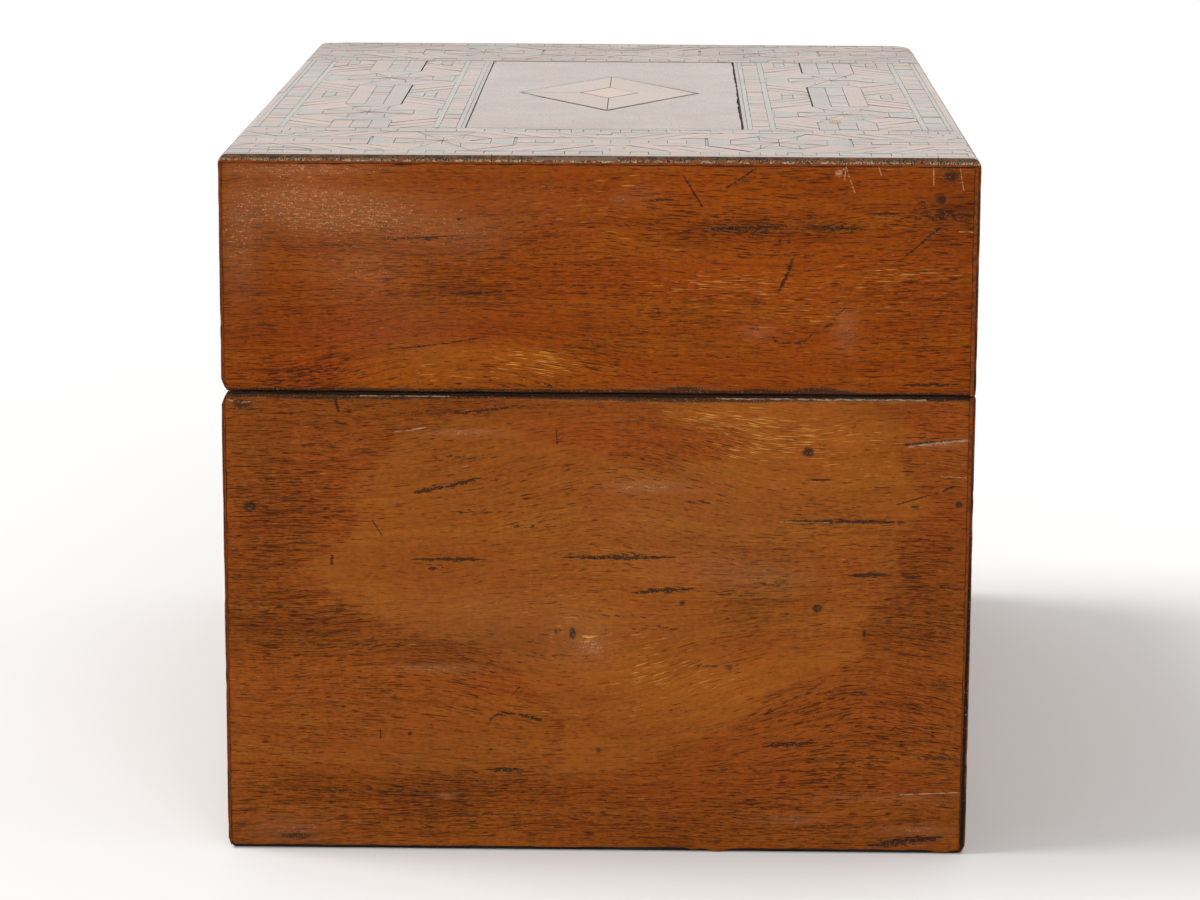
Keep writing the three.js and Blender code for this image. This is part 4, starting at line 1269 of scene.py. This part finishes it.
def build_tile_wood():
    """Polished small woods: each tile's own colour, streaked and pored along its own grain."""
    material, tree, shader = new_material("parquetry_woods")
    grain = put(tree, "ShaderNodeUVMap", uv_map="grain").outputs[0]
    place = millimetres(tree)
    own = attribute(tree, "wood_colour", "Color")
    fine = streaks(tree, grain, 6.0, 0.35, 3.0)
    tone = ramp(tree, fine, 0.0, 1.0, 0.72, 1.2)
    tone = vector(tree, tone, tone, tone)
    colour = blend_colour(tree, 1.0, own, tone, "MULTIPLY")
    pores = dashes(tree, grain, 2.2, 0.25, 0.6)
    colour = blend_colour(tree, times(tree, pores, 0.6), colour, linear(50, 30, 20))
    grime = soft_noise(tree, place, 0.05, 4.0)
    grime = ramp(tree, grime, 0.5, 0.8, 0.0, 0.35)
    colour = blend_colour(tree, grime, colour, linear(88, 66, 52))
    # Darker and duller towards the far end: a worn coat, and painted shade for the darker far part of the
    # top.
    far = ramp(tree, parts_of(tree, place)[1], 30.0, 112.0)
    far_wear_and_shade = times(tree, far, ramp(tree, soft_noise(tree, place, 0.06), 0.3, 0.6, 0.12, 0.42))
    specks = ramp(tree, soft_noise(tree, place, 1.4, 3.0), 0.66, 0.72, 0.0, 0.6)
    colour = blend_colour(tree, larger(tree, far_wear_and_shade, specks), colour, linear(84, 66, 54))
    drip = mark(tree, place, (49.5, -56.6, 1.35), (49.5, -51.8, 0.0))
    colour = blend_colour(tree, maths(tree, "MULTIPLY", drip, 4.0, clamp=True), colour, linear(92, 76, 58))
    colour = blend_colour(tree, ramp(tree, drip, 0.4, 0.8), colour, linear(170, 152, 118))
    rough = ramp(tree, fine, 0.0, 1.0, 0.25, 0.4)
    rough = plus(tree, rough, times(tree, larger(tree, grime, drip), 0.3))
    clean = minus(tree, 1.0, larger(tree, drip, far_wear_and_shade))
    finish_shader(tree, shader, colour, rough, minus(tree, fine, pores), 0.12, 0.1,
                  Coat_Weight=clean, Specular_IOR_Level=0.5, Coat_Roughness=0.12)
    return material


def build_end_grain():
    """The cut edge of the parquetry on the box's ends: dirty dark grains with a few reddish bits above, tan
    and gold ones below, and one smooth grey stretch on the near end. Its foot is stained and polished like
    the face below."""
    material, tree, shader = new_material("parquetry_end_grain")
    place = millimetres(tree)
    parts = parts_of(tree, place)
    fine = soft_noise(tree, scaled(tree, place, (1.7, 1.7, 0.75)), 4.6, 2.0)
    coarse = soft_noise(tree, place, 0.6, 3.0)
    reddish = soft_noise(tree, place, 1.3, 2.0)
    lifted = plus(tree, parts[2], times(tree, plus(tree, fine, coarse), 0.9))
    high = ramp(tree, lifted, TOP, TOP + 0.4)
    grains = ramp(tree, plus(tree, fine, times(tree, coarse, 0.35)), 0.64, 0.76)
    low_colour = blend_colour(tree, grains, linear(40, 25, 16), linear(196, 164, 122))
    low_colour = blend_colour(tree, ramp(tree, reddish, 0.56, 0.62), low_colour, linear(136, 70, 26))
    high_colour = blend_colour(tree, grains, linear(20, 14, 12), linear(120, 90, 62))
    high_colour = blend_colour(tree, ramp(tree, reddish, 0.58, 0.66), high_colour, linear(112, 46, 18))
    colour = blend_colour(tree, high, low_colour, high_colour)
    polished = ramp(tree, plus(tree, parts[2], times(tree, coarse, 0.5)), TOP - 1.1, TOP - 0.95, 1.0, 0.0)
    stained = blend_colour(tree, ramp(tree, coarse, 0.35, 0.65), linear(134, 62, 12), linear(100, 44, 12))
    colour = blend_colour(tree, polished, colour, stained)
    upright = vector(tree, parts[0], parts[2])
    grey = mark(tree, upright, (-13.0, TOP - 0.6, 0.4), (3.4, TOP - 0.55, 0.0), coarse, 1.0)
    colour = blend_colour(tree, times(tree, grey, 0.8), colour, linear(112, 90, 72))
    finish_shader(tree, shader, colour, 0.6, fine, 0.5, Specular_IOR_Level=0.2)
    return material


tile_wood = build_tile_wood()
tile_end_grain = build_end_grain()
glue = edge_grain("old_glue", linear(50, 38, 30), linear(92, 72, 54), 0.4)
TILE_MATERIALS = [tile_wood, tile_end_grain, glue]


def medallion(add, s, t, half, filled):
    """An octagon: a ring of eight trapezoids, grey on the square sides, around an eight-pointed star. Along
    the sides named as filled, a line of dark filler stands where the ring has shrunk."""
    angles = math.pi / 8 + np.arange(9) * math.pi / 4
    corner = lambda radius, angle: np.array([s + radius * math.cos(angle), t + radius * math.sin(angle)])
    outer = half / math.cos(math.pi / 8)
    ring = outer * 0.655
    notch = ring * 0.5
    for k in range(8):
        a, b = angles[k], angles[k + 1]
        middle = (a + b) / 2
        square = k % 2 == 1
        edge = outer - 0.55 if k in filled else outer
        if k in filled:
            filler = [corner(outer, a), corner(outer, b), corner(edge, b), corner(edge, a)]
            add(filler, "ebony", middle, 0.01, 0.1)
        add([corner(edge, a), corner(edge, b), corner(ring, b), corner(ring, a)],
            "grey" if square else "pink",
            middle + math.pi / 2)
        add([corner(ring, a), corner(ring, b), corner(notch, middle)], "tan" if square else "slate", middle)
        before = middle - math.pi / 4
        add([(s, t), corner(notch, before), corner(ring, a)], "plum", a)
        add([(s, t), corner(ring, a), corner(notch, middle)], "satin" if square else "tan", a)


def link(add, s, t, half_length, half_width, side, random, crack):
    """The field between two octagons: a column of squares, long bars, slanting bars and a small grey block.
    The inner long bar stands off its neighbour where the ground has cracked."""
    squares = np.linspace(-half_length, half_length, 11)
    for k in range(10):
        wood = "slate" if k % 2 else random.choice(["rose", "tan", "holly"])
        add([(s + squares[k], t - 2), (s + squares[k + 1], t - 2), (s + squares[k + 1], t + 2),
             (s + squares[k], t + 2)],
            wood, random.uniform(0, 3))
    rise = half_width - side
    for sign in (-1, 1):
        low, high = 2.0, side - (crack if sign > 0 else 0)
        add([(s - half_length, t + sign * low), (s + half_length, t + sign * low),
             (s + half_length, t + sign * high), (s - half_length, t + sign * high)],
             "plum" if sign > 0 else "rose")
        cuts = np.array([0, 0.24, 0.28, 0.52, 0.56, 0.8, 0.84, 1.0]) * half_length
        woods = ["pink", "ebony", "satin", "slate", "pink", "ebony", "tan"]
        for half in (-1, 1):
            for k, wood in enumerate(woods):
                start, end = half_length - cuts[k], half_length - cuts[k + 1]
                add([(s + half * start, t + sign * side), (s + half * end, t + sign * side),
                     (s + half * (end + rise), t + sign * half_width),
                     (s + half * (start + rise), t + sign * half_width)],
                    wood, half * sign * math.pi / 4, 0.02 if wood in ("ebony", "slate") else GAP)
        low_t, low_s, high_t, high_s = side + rise * 0.4, rise * 0.4, side + rise * 0.68, rise * 0.68
        add([(s, t + sign * side), (s + low_s, t + sign * low_t), (s - low_s, t + sign * low_t)],
            "holly", math.pi / 2)
        block = low_s * 0.8
        add([(s - block, t + sign * low_t), (s + block, t + sign * low_t),
             (s + block, t + sign * high_t), (s - block, t + sign * high_t)], "grey")
        for half in (-1, 1):
            add([(s + half * block, t + sign * low_t), (s + half * low_s, t + sign * low_t),
                 (s + half * high_s, t + sign * high_t), (s + half * block, t + sign * high_t)], "rose",
                 half * math.pi / 4)
            add([(s, t + sign * high_t), (s + half * high_s, t + sign * high_t),
                 (s + half * rise, t + sign * half_width), (s, t + sign * half_width)],
                 "tan" if half > 0 else "rose")


def ladder(add, s_from, s_to, t_from, t_to, random):
    """A row of bricks of uneven length, dark and light in no order."""
    s = s_from
    while s < s_to - 0.3:
        end = min(s_to, s + random.uniform(2.0, 6.5))
        wood = random.choice(["rose", "satin", "tan", "slate", "grey", "plum", "pink", "tan"])
        add([(s, t_from), (end, t_from), (end, t_to), (s, t_to)], wood, math.pi / 2)
        s = end


def long_strips(add, s_from, s_to, t_from, t_to, woods, random):
    """A plain strip, in two or three lengths end to end."""
    cuts = np.sort(random.uniform(s_from, s_to, 2))
    stations = np.concatenate([[s_from], cuts, [s_to]])
    for start, end in zip(stations[:-1], stations[1:]):
        if end - start > 0.5:
            wood = random.choice(woods)
            gap = 0.02 if wood == "string" else GAP
            add([(start, t_from), (end, t_from), (end, t_to), (start, t_to)], wood, 0.0, gap)


# Sides of the octagons that are filled with dark filler, counted from the one that faces right and inwards
FILLED = {("near", 0): (1, 3, 7), ("near", 1): (3, 4, 7), ("far", 0): (7,), ("far", 1): (3, 7)}


def band(side, width, s_from, s_to, medallion_shift):
    """One border of the lid's top, laid in its own frame: s runs along the band, t inwards from the box's
    edge."""
    seed = {"near": 101, "far": 103, "back": 107, "front": 109}[side]
    random = np.random.default_rng(seed)
    turn = {
        "near": lambda p: np.array([p[0], NEAR + p[1]]), "far": lambda p: np.array([p[0], FAR - p[1]]),
        "back": lambda p: np.array([LEFT + p[1], p[0]]), "front": lambda p: np.array([RIGHT - p[1], p[0]]),
    }[side]
    flip = math.pi / 2 if side in ("back", "front") else 0.0
    window = [(np.array([s_from, 0.0]), np.array([-1.0, 0])), (np.array([s_to, 0.0]), np.array([1.0, 0])),
              (np.array([0.0, 0.0]), np.array([0, -1.0])), (np.array([0.0, width]), np.array([0, 1.0]))]
    sheet = TileSheet(seed)

    def adder(target):
        def add(polygon, wood, angle=0.0, gap=GAP, sink=0.0):
            shape = np.array([np.array(point, float) for point in polygon])
            for point, normal in window:
                shape = clip(shape, point, normal)
            if len(shape) > 2:
                target.add(np.array([turn(point) for point in shape]), wood, angle + flip, gap, sink)
        return add

    add = adder(sheet)
    rows = np.cumsum([0, STRIP, OUTER_LADDER, OUTER_STRING])
    inner = width - np.cumsum([0, LAST_EDGE, LAST_STRING, INNER_LADDER, INNER_STRING])
    half_width = (inner[4] - rows[3]) / 2
    t = rows[3] + half_width
    long_strips(add, s_from, s_to, 0, STRIP - THIN_STRING, ["tan", "rose"], random)
    long_strips(add, s_from, s_to, STRIP - THIN_STRING, STRIP, ["string"], random)
    ladder(add, s_from, s_to, rows[1], rows[2], random)
    long_strips(add, s_from, s_to, rows[2], rows[3], ["string"], random)
    long_strips(add, s_from, s_to, inner[4], inner[3], ["string"], random)
    ladder(add, s_from, s_to, inner[3], inner[2], random)
    long_strips(add, s_from, s_to, inner[2], inner[1], ["string"], random)
    long_strips(add, s_from, s_to, inner[1], inner[0], ["plum"], random)
    half_length = PITCH / 2 - MEDALLION_HALF
    side_half = MEDALLION_HALF * math.tan(math.pi / 8)
    for place in (-1, 0, 1):
        crack = 0.24 if side in ("back", "front") and place >= 0 else 0.0
        link(add, medallion_shift + place * PITCH, t, half_length, half_width, side_half, random, crack)
    pieces = [f"{side}_parquetry_band"]
    sheet.finish(f"{side}_band_tiles", TILE_MATERIALS, pieces)
    for number, place in enumerate((-0.5, 0.5)):
        inlay = TileSheet(seed + 1 + number)
        s = medallion_shift + place * PITCH
        lay = adder(inlay)
        medallion(lay, s, t, MEDALLION_HALF, FILLED.get((side, number), ()))
        if half_width > MEDALLION_HALF + 0.1:
            for sign in (-1, 1):
                near_edge, far_edge = t + sign * MEDALLION_HALF, t + sign * half_width
                lay([(s - side_half, near_edge), (s + side_half, near_edge), (s + side_half, far_edge),
                     (s - side_half, far_edge)], "grey", 0.0, 0.01)
        node = f"{side}_medallion_{number + 1}"
        inlay.finish(f"{node}_tiles", TILE_MATERIALS, [node])


END_BAND = near_band_high[1] - NEAR
END_SHIFT = 2.0
SIDE_SHIFT = -5.8
BACK_BAND = panel_low[0] - LEFT - 0.05
FRONT_BAND = RIGHT - panel_high[0] - 0.05
band("near", END_BAND, LEFT, RIGHT, END_SHIFT)
band("far", END_BAND, LEFT, RIGHT, END_SHIFT)
band("back", BACK_BAND, panel_low[1], panel_high[1], SIDE_SHIFT)
band("front", FRONT_BAND, panel_low[1], panel_high[1], SIDE_SHIFT)


# The middle of the top: a walnut panel, and in it a lozenge of four pale facets around a small heart

def lozenge_outline(angle, centre, half_width, half_length):
    """A point on a lozenge in a given direction from its centre."""
    c, s = np.cos(angle), np.sin(angle)
    reach = 1 / (np.abs(c) / half_width + np.abs(s) / half_length)
    return centre + np.stack([c * reach, s * reach], -1)


def rectangle_outline(angle, centre, low, high):
    """A point on a rectangle in a given direction from a centre inside it."""
    c, s = np.cos(angle), np.sin(angle)
    across = np.where(c > 0, high[0] - centre[0], centre[0] - low[0]) / np.maximum(np.abs(c), 1e-9)
    along = np.where(s > 0, high[1] - centre[1], centre[1] - low[1]) / np.maximum(np.abs(s), 1e-9)
    reach = np.minimum(across, along)
    return centre + np.stack([c * reach, s * reach], -1)


facet_spans = [span(f"lozenge_facet_{k}") for k in (1, 2, 3, 4)]
LOZENGE_LOW = np.min([low for low, _ in facet_spans], 0)[:2]
LOZENGE_HIGH = np.max([high for _, high in facet_spans], 0)[:2]
heart_low, heart_high = span("lozenge_heart")
LOZENGE_CENTRE = (LOZENGE_LOW + LOZENGE_HIGH) / 2
LOZENGE_HALF = (LOZENGE_HIGH - LOZENGE_LOW) / 2
HEART_HALF = (heart_high - heart_low)[:2] / 2
CRACK_WIDTH = 0.3
BACK_CRACK_WIDTH = 0.14


def centre_panel():
    """The panel between the lozenge and its rectangular border: a point goes from the inner outline to the
    outer one as the second parameter runs from 0 to 1, and its front edge has shrunk away in a wandering
    crack."""
    corners = [math.atan2(y - LOZENGE_CENTRE[1], x - LOZENGE_CENTRE[0])
               for x in (panel_low[0], panel_high[0]) for y in (panel_low[1], panel_high[1])]
    turns = np.unique(np.concatenate([np.linspace(-math.pi, math.pi, 241), corners,
                                      [-math.pi / 2, 0, math.pi / 2]]).round(6))[:-1]
    shares = np.array([0, 0.02, 0.1, 0.2, 0.3, 0.4, 0.5, 0.6, 0.7, 0.8, 0.9, 0.97, 1.0])
    angle, share = np.meshgrid(turns, shares, indexing="ij")
    inner = lozenge_outline(angle, LOZENGE_CENTRE, *(LOZENGE_HALF + 0.1))
    outer = rectangle_outline(angle, LOZENGE_CENTRE, panel_low[:2], panel_high[:2])
    plan = inner * (1 - share[..., None]) + outer * share[..., None]
    front_gap = CRACK_WIDTH * (0.8 + 0.8 * smooth_noise(plan[..., 1], plan[..., 1] * 0, 14, 81)
                               + 0.5 * smooth_noise(plan[..., 1], plan[..., 1] * 0, 4, 82))
    back_gap = BACK_CRACK_WIDTH * (1 + 0.5 * smooth_noise(plan[..., 1], plan[..., 1] * 0, 12, 83))
    reach = panel_high[0] - LOZENGE_CENTRE[0]
    across = (plan[..., 0] - LOZENGE_CENTRE[0]) / reach
    plan[..., 0] -= front_gap * np.clip(across, 0, 1) ** 3 - back_gap * np.clip(-across, 0, 1) ** 3
    x, y = plan[..., 0], plan[..., 1]
    waves = 0.03 * (1 + smooth_noise(x, y, 14, 84)) + 0.008 * smooth_noise(x, y, 3, 85)
    plan[..., 1] += 0.03 * np.sign(plan[..., 1] - LOZENGE_CENTRE[1]) * (share > 0.999)
    level = TOP - 0.02 - waves - 0.03 * (share > 0.999) - 0.08 * (share < 0.001)
    rows, columns = angle.shape
    top = np.concatenate([plan, level[..., None]], -1).reshape(-1, 3)
    bottom = top.copy()
    bottom[:, 2] = TILE_BOTTOM
    index = np.arange(rows * columns).reshape(rows, columns)
    index = np.concatenate([index, index[:1]])
    quads = np.stack([index[:-1, :-1], index[:-1, 1:], index[1:, 1:], index[1:, :-1]], -1).reshape(-1, 4)
    under = quads[:, ::-1] + len(top)
    walls = []
    for column, reverse in ((0, False), (columns - 1, True)):
        here, after = index[:-1, column], index[1:, column]
        wall = np.stack([here, after, after + len(top), here + len(top)], -1)
        walls.append(wall[:, ::-1] if reverse else wall)
    quads = quads[:, ::-1]
    under = under[:, ::-1]
    groups = [quads, under] + walls
    material_index = np.concatenate([np.zeros(len(quads)), np.ones(len(under) + sum(len(w) for w in walls))])
    smooth = material_index == 0
    grain = np.concatenate([top[:, [1, 0]]] * 2)
    zero = np.zeros(2 * len(top))
    fields = {key: zero for key in ("shade", "warmth", "figure", "pits", "haze", "soil", "gold")}
    fields["open_grain"] = zero + 0.2
    make_piece("centre_panel_sheet", np.concatenate([top, bottom]), groups, "lid",
               [panel_walnut, glue], ["centre_panel"], fields, grain, material_index, smooth)


panel_walnut = walnut("panel_walnut", linear(140, 90, 58), linear(112, 70, 44), linear(152, 102, 68),
                      linear(142, 86, 54), rough=0.25, specular=0.5, coat=1.0)
centre_panel()


def lay_lozenge():
    half_width, half_length = LOZENGE_HALF
    centre = LOZENGE_CENTRE
    string = 0.36
    inner_share = 1 - string / (half_width * half_length / math.hypot(half_width, half_length))
    directions = [np.array(d, float) for d in ((1, 0), (0, 1), (-1, 0), (0, -1))]
    outer = [centre + d * LOZENGE_HALF for d in directions]
    inner = [centre + d * LOZENGE_HALF * inner_share for d in directions]
    heart = [centre + d * (HEART_HALF + 0.1) for d in directions]
    woods = ["tan", "satin", "tan", "satin"]
    for k in range(4):
        after = (k + 1) % 4
        side = outer[after] - outer[k]
        angle = math.atan2(side[1], side[0])
        sheet = TileSheet(131 + k)
        sheet.add([outer[k], outer[after], inner[after], inner[k]], "ebony", angle, 0.02)
        sheet.add([inner[k], inner[after], heart[after], heart[k]], woods[k], angle, 0.1)
        sheet.finish(f"lozenge_facet_{k + 1}_tile", TILE_MATERIALS, [f"lozenge_facet_{k + 1}"])
    sheet = TileSheet(139)
    sheet.add([centre + d * HEART_HALF for d in directions], "heart", 0.0, 0.14)
    sheet.finish("lozenge_heart_tile", TILE_MATERIALS, ["lozenge_heart"])


lay_lozenge()


def parquetry_ground():
    """The dark glue that the tiles lie in: a sheet a little below their tops, lower still under the two
    cracks."""
    beside_cracks = [panel_high[0] - 1.2, panel_high[0] + 0.3, panel_low[0] + 0.6, panel_low[0] - 0.3]
    x = graded(LEFT + 0.1, RIGHT - 0.1, 2.2, 2.0, beside_cracks)
    y = graded(NEAR + 0.1, FAR - 0.1, 2.6, 1.0)
    x, y = np.meshgrid(x, y, indexing="ij")
    in_panel = (y > panel_low[1]) & (y < panel_high[1])
    front_crack = (x > panel_high[0] - 1.4) & (x < panel_high[0] + 0.1)
    back_crack = (x > panel_low[0] - 0.1) & (x < panel_low[0] + 0.4)
    crack = in_panel & (front_crack | back_crack)
    level = top_level(x, y) - 0.3 - 0.05 * smooth_noise(x, y, 2.1, 91)
    level = np.where(crack, TILE_BOTTOM + 0.1, np.maximum(level, TILE_BOTTOM + 0.05))
    top = np.stack([x, y, level], -1).reshape(-1, 3)
    bottom = top.copy()
    bottom[:, 2] = TILE_BOTTOM
    rows, columns = x.shape
    faces = grid_faces(rows, columns)
    index = np.arange(rows * columns).reshape(rows, columns)
    ring = np.concatenate([index[:-1, 0], index[-1, :-1], index[:0:-1, -1], index[0, :0:-1]])
    after = np.roll(ring, -1)
    walls = np.stack([ring, ring + len(top), after + len(top), after], -1)
    make_piece("parquetry_glue", np.concatenate([top, bottom]), [faces, faces[:, ::-1] + len(top), walls],
               "lid", [glue])


parquetry_ground()


# The case boards and the brass, which keep their solids

def case_wood(name, along, up):
    """Plain straight-grained case wood, waxed, with its grain along one axis of the box."""
    material, tree, shader = new_material(name)
    place = millimetres(tree)
    parts = parts_of(tree, place)
    across = plus(tree, parts[up], times(tree, parts[3 - along - up], 0.8))
    grain = vector(tree, parts[along], across)
    broad = streaks(tree, grain, 90.0, 6.0, 3.0)
    fine = streaks(tree, grain, 12.0, 0.5, 4.0)
    pores = dashes(tree, grain, 5.0, 0.4, 0.6)
    stain = soft_noise(tree, place, 0.03, 3.0)
    colour = blend_colour(tree, broad, linear(138, 84, 48), linear(164, 106, 64))
    colour = blend_colour(tree, ramp(tree, fine, 0.4, 1.0, 0.0, 0.45), colour, linear(112, 66, 38))
    colour = blend_colour(tree, times(tree, pores, 0.6), colour, linear(70, 40, 24))
    colour = blend_colour(tree, ramp(tree, stain, 0.5, 0.8, 0.0, 0.4), colour, linear(96, 62, 42))
    # Where the boards show behind the end veneers they turn almost black: painted shade in the seam and the
    # gaps.
    outward = maths(tree, "ABSOLUTE", parts[1])
    gap_shade = ramp(tree, outward, FAR - END_THICKNESS - 0.5, FAR - END_THICKNESS - 0.3, 0.0, 0.96)
    colour = blend_colour(tree, gap_shade, colour, linear(9, 6, 4))
    rough = ramp(tree, stain, 0.3, 0.7, 0.45, 0.6)
    finish_shader(tree, shader, colour, rough, minus(tree, fine, pores), 0.25, Specular_IOR_Level=0.3)
    return material


def aged_brass():
    material, tree, shader = new_material("aged_brass")
    place = millimetres(tree)
    cloud = soft_noise(tree, place, 0.25, 4.0)
    specks = use(tree, specks_group, {"Vector": place, "Size": 0.8, "Amount": 0.2})["Mask"]
    colour = blend_colour(tree, ramp(tree, cloud, 0.35, 0.7), linear(186, 148, 84), linear(122, 88, 46))
    colour = blend_colour(tree, times(tree, specks, 0.7), colour, linear(66, 48, 30))
    rough = ramp(tree, cloud, 0.3, 0.7, 0.3, 0.5)
    finish_shader(tree, shader, colour, rough, cloud, 0.2, Metallic=1.0)
    return material


def finish_solids():
    wood_along_x = case_wood("case_wood_across", 0, 2)
    wood_along_y = case_wood("case_wood_lengthwise", 1, 2)
    flat_wood = case_wood("case_wood_flat", 1, 0)
    brass = aged_brass()
    for name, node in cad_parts.items():
        if node.hide_render:
            continue
        if name.startswith("hinge"):
            material = brass
        elif name in ("bottom_board", "top_board"):
            material = flat_wood
        else:
            material = wood_along_x if "_end_" in name else wood_along_y
        node.data.materials.clear()
        node.data.materials.append(material)


finish_solids()


# Room, light and camera

def make_floor():
    """A broad table top, all but flat: its height is a slow ripple of a fiftieth of a millimetre."""
    reach = 6000.0
    stations = np.linspace(-reach, reach, 25)
    x, y = np.meshgrid(stations, stations, indexing="ij")
    level = -0.05 + 0.02 * smooth_noise(x, y, 900, 97)
    points = np.stack([x, y, np.minimum(level, -0.04)], -1).reshape(-1, 3)
    material, tree, shader = new_material("pale_table")
    cloud = soft_noise(tree, millimetres(tree), 0.002)
    # The table shows the camera a brighter colour than it sends to the box, and a dark one to glossy rays:
    # painted brightness, and painted darkness in the box's reflections.
    path = put(tree, "ShaderNodeLightPath").outputs
    seen = blend_colour(tree, cloud, (0.84, 0.84, 0.84, 1), (0.86, 0.86, 0.86, 1))
    camera_brightened = blend_colour(tree, path["Is Camera Ray"], (0.72, 0.72, 0.72, 1), seen)
    dark_in_reflections = blend_colour(tree, path["Is Glossy Ray"], camera_brightened, (0.16, 0.16, 0.16, 1))
    join(tree, dark_in_reflections, shader.inputs["Base Color"])
    shader.inputs["Roughness"].default_value = 0.8
    shader.inputs["Specular IOR Level"].default_value = 0.05
    floor = make_piece("table", points, [grid_faces(25, 25)], None, [material])


def make_light():
    world = bpy.data.worlds.new("soft_room")
    bpy.context.scene.world = world
    world.use_nodes = True
    tree = world.node_tree
    background = tree.nodes["Background"]
    direction = put(tree, "ShaderNodeTexCoord").outputs["Generated"]
    parts = parts_of(tree, direction)
    strength = ramp(tree, parts[1], -0.7, 0.4, 0.45, 0.76)
    background.inputs["Color"].default_value = (1.0, 0.985, 0.955, 1.0)
    join(tree, strength, background.inputs["Strength"])
    for name, place, spread, strength in (
        ("key", (-900, 60, 1300), 30, 1.8),
        ("fill", (300, -1400, 700), 40, 1.15),
    ):
        data = bpy.data.lights.new(name, "SUN")
        data.angle = math.radians(spread)
        data.energy = strength
        lamp = bpy.data.objects.new(name, data)
        aim = (Vector((0, 0, 70)) - Vector(place)).to_track_quat("-Z", "Y")
        lamp.matrix_world = Matrix.Translation(Vector(place) * MM) @ aim.to_matrix().to_4x4()
        bpy.context.scene.collection.objects.link(lamp)


def make_camera():
    """The camera of the photograph: its place and turns were fitted to the corners of the box."""
    yaw, pitch, roll = (math.radians(angle) for angle in (0.97, -11.67, -0.24))
    place = Vector((13.3, -873.4, 241.4)) * MM
    turn = Matrix.Rotation(yaw, 4, "Z") @ Matrix.Rotation(pitch, 4, "X") @ Matrix.Rotation(roll, 4, "Y")
    data = bpy.data.cameras.new("camera")
    data.sensor_width = 36.0
    data.lens = 115.0
    data.clip_end = 100.0
    camera = bpy.data.objects.new("camera", data)
    camera.matrix_world = Matrix.Translation(place) @ turn @ Matrix.Rotation(math.pi / 2, 4, "X")
    bpy.context.scene.collection.objects.link(camera)
    bpy.context.scene.camera = camera


make_floor()
make_light()
make_camera()
bpy.context.scene.view_settings.view_transform = "Standard"
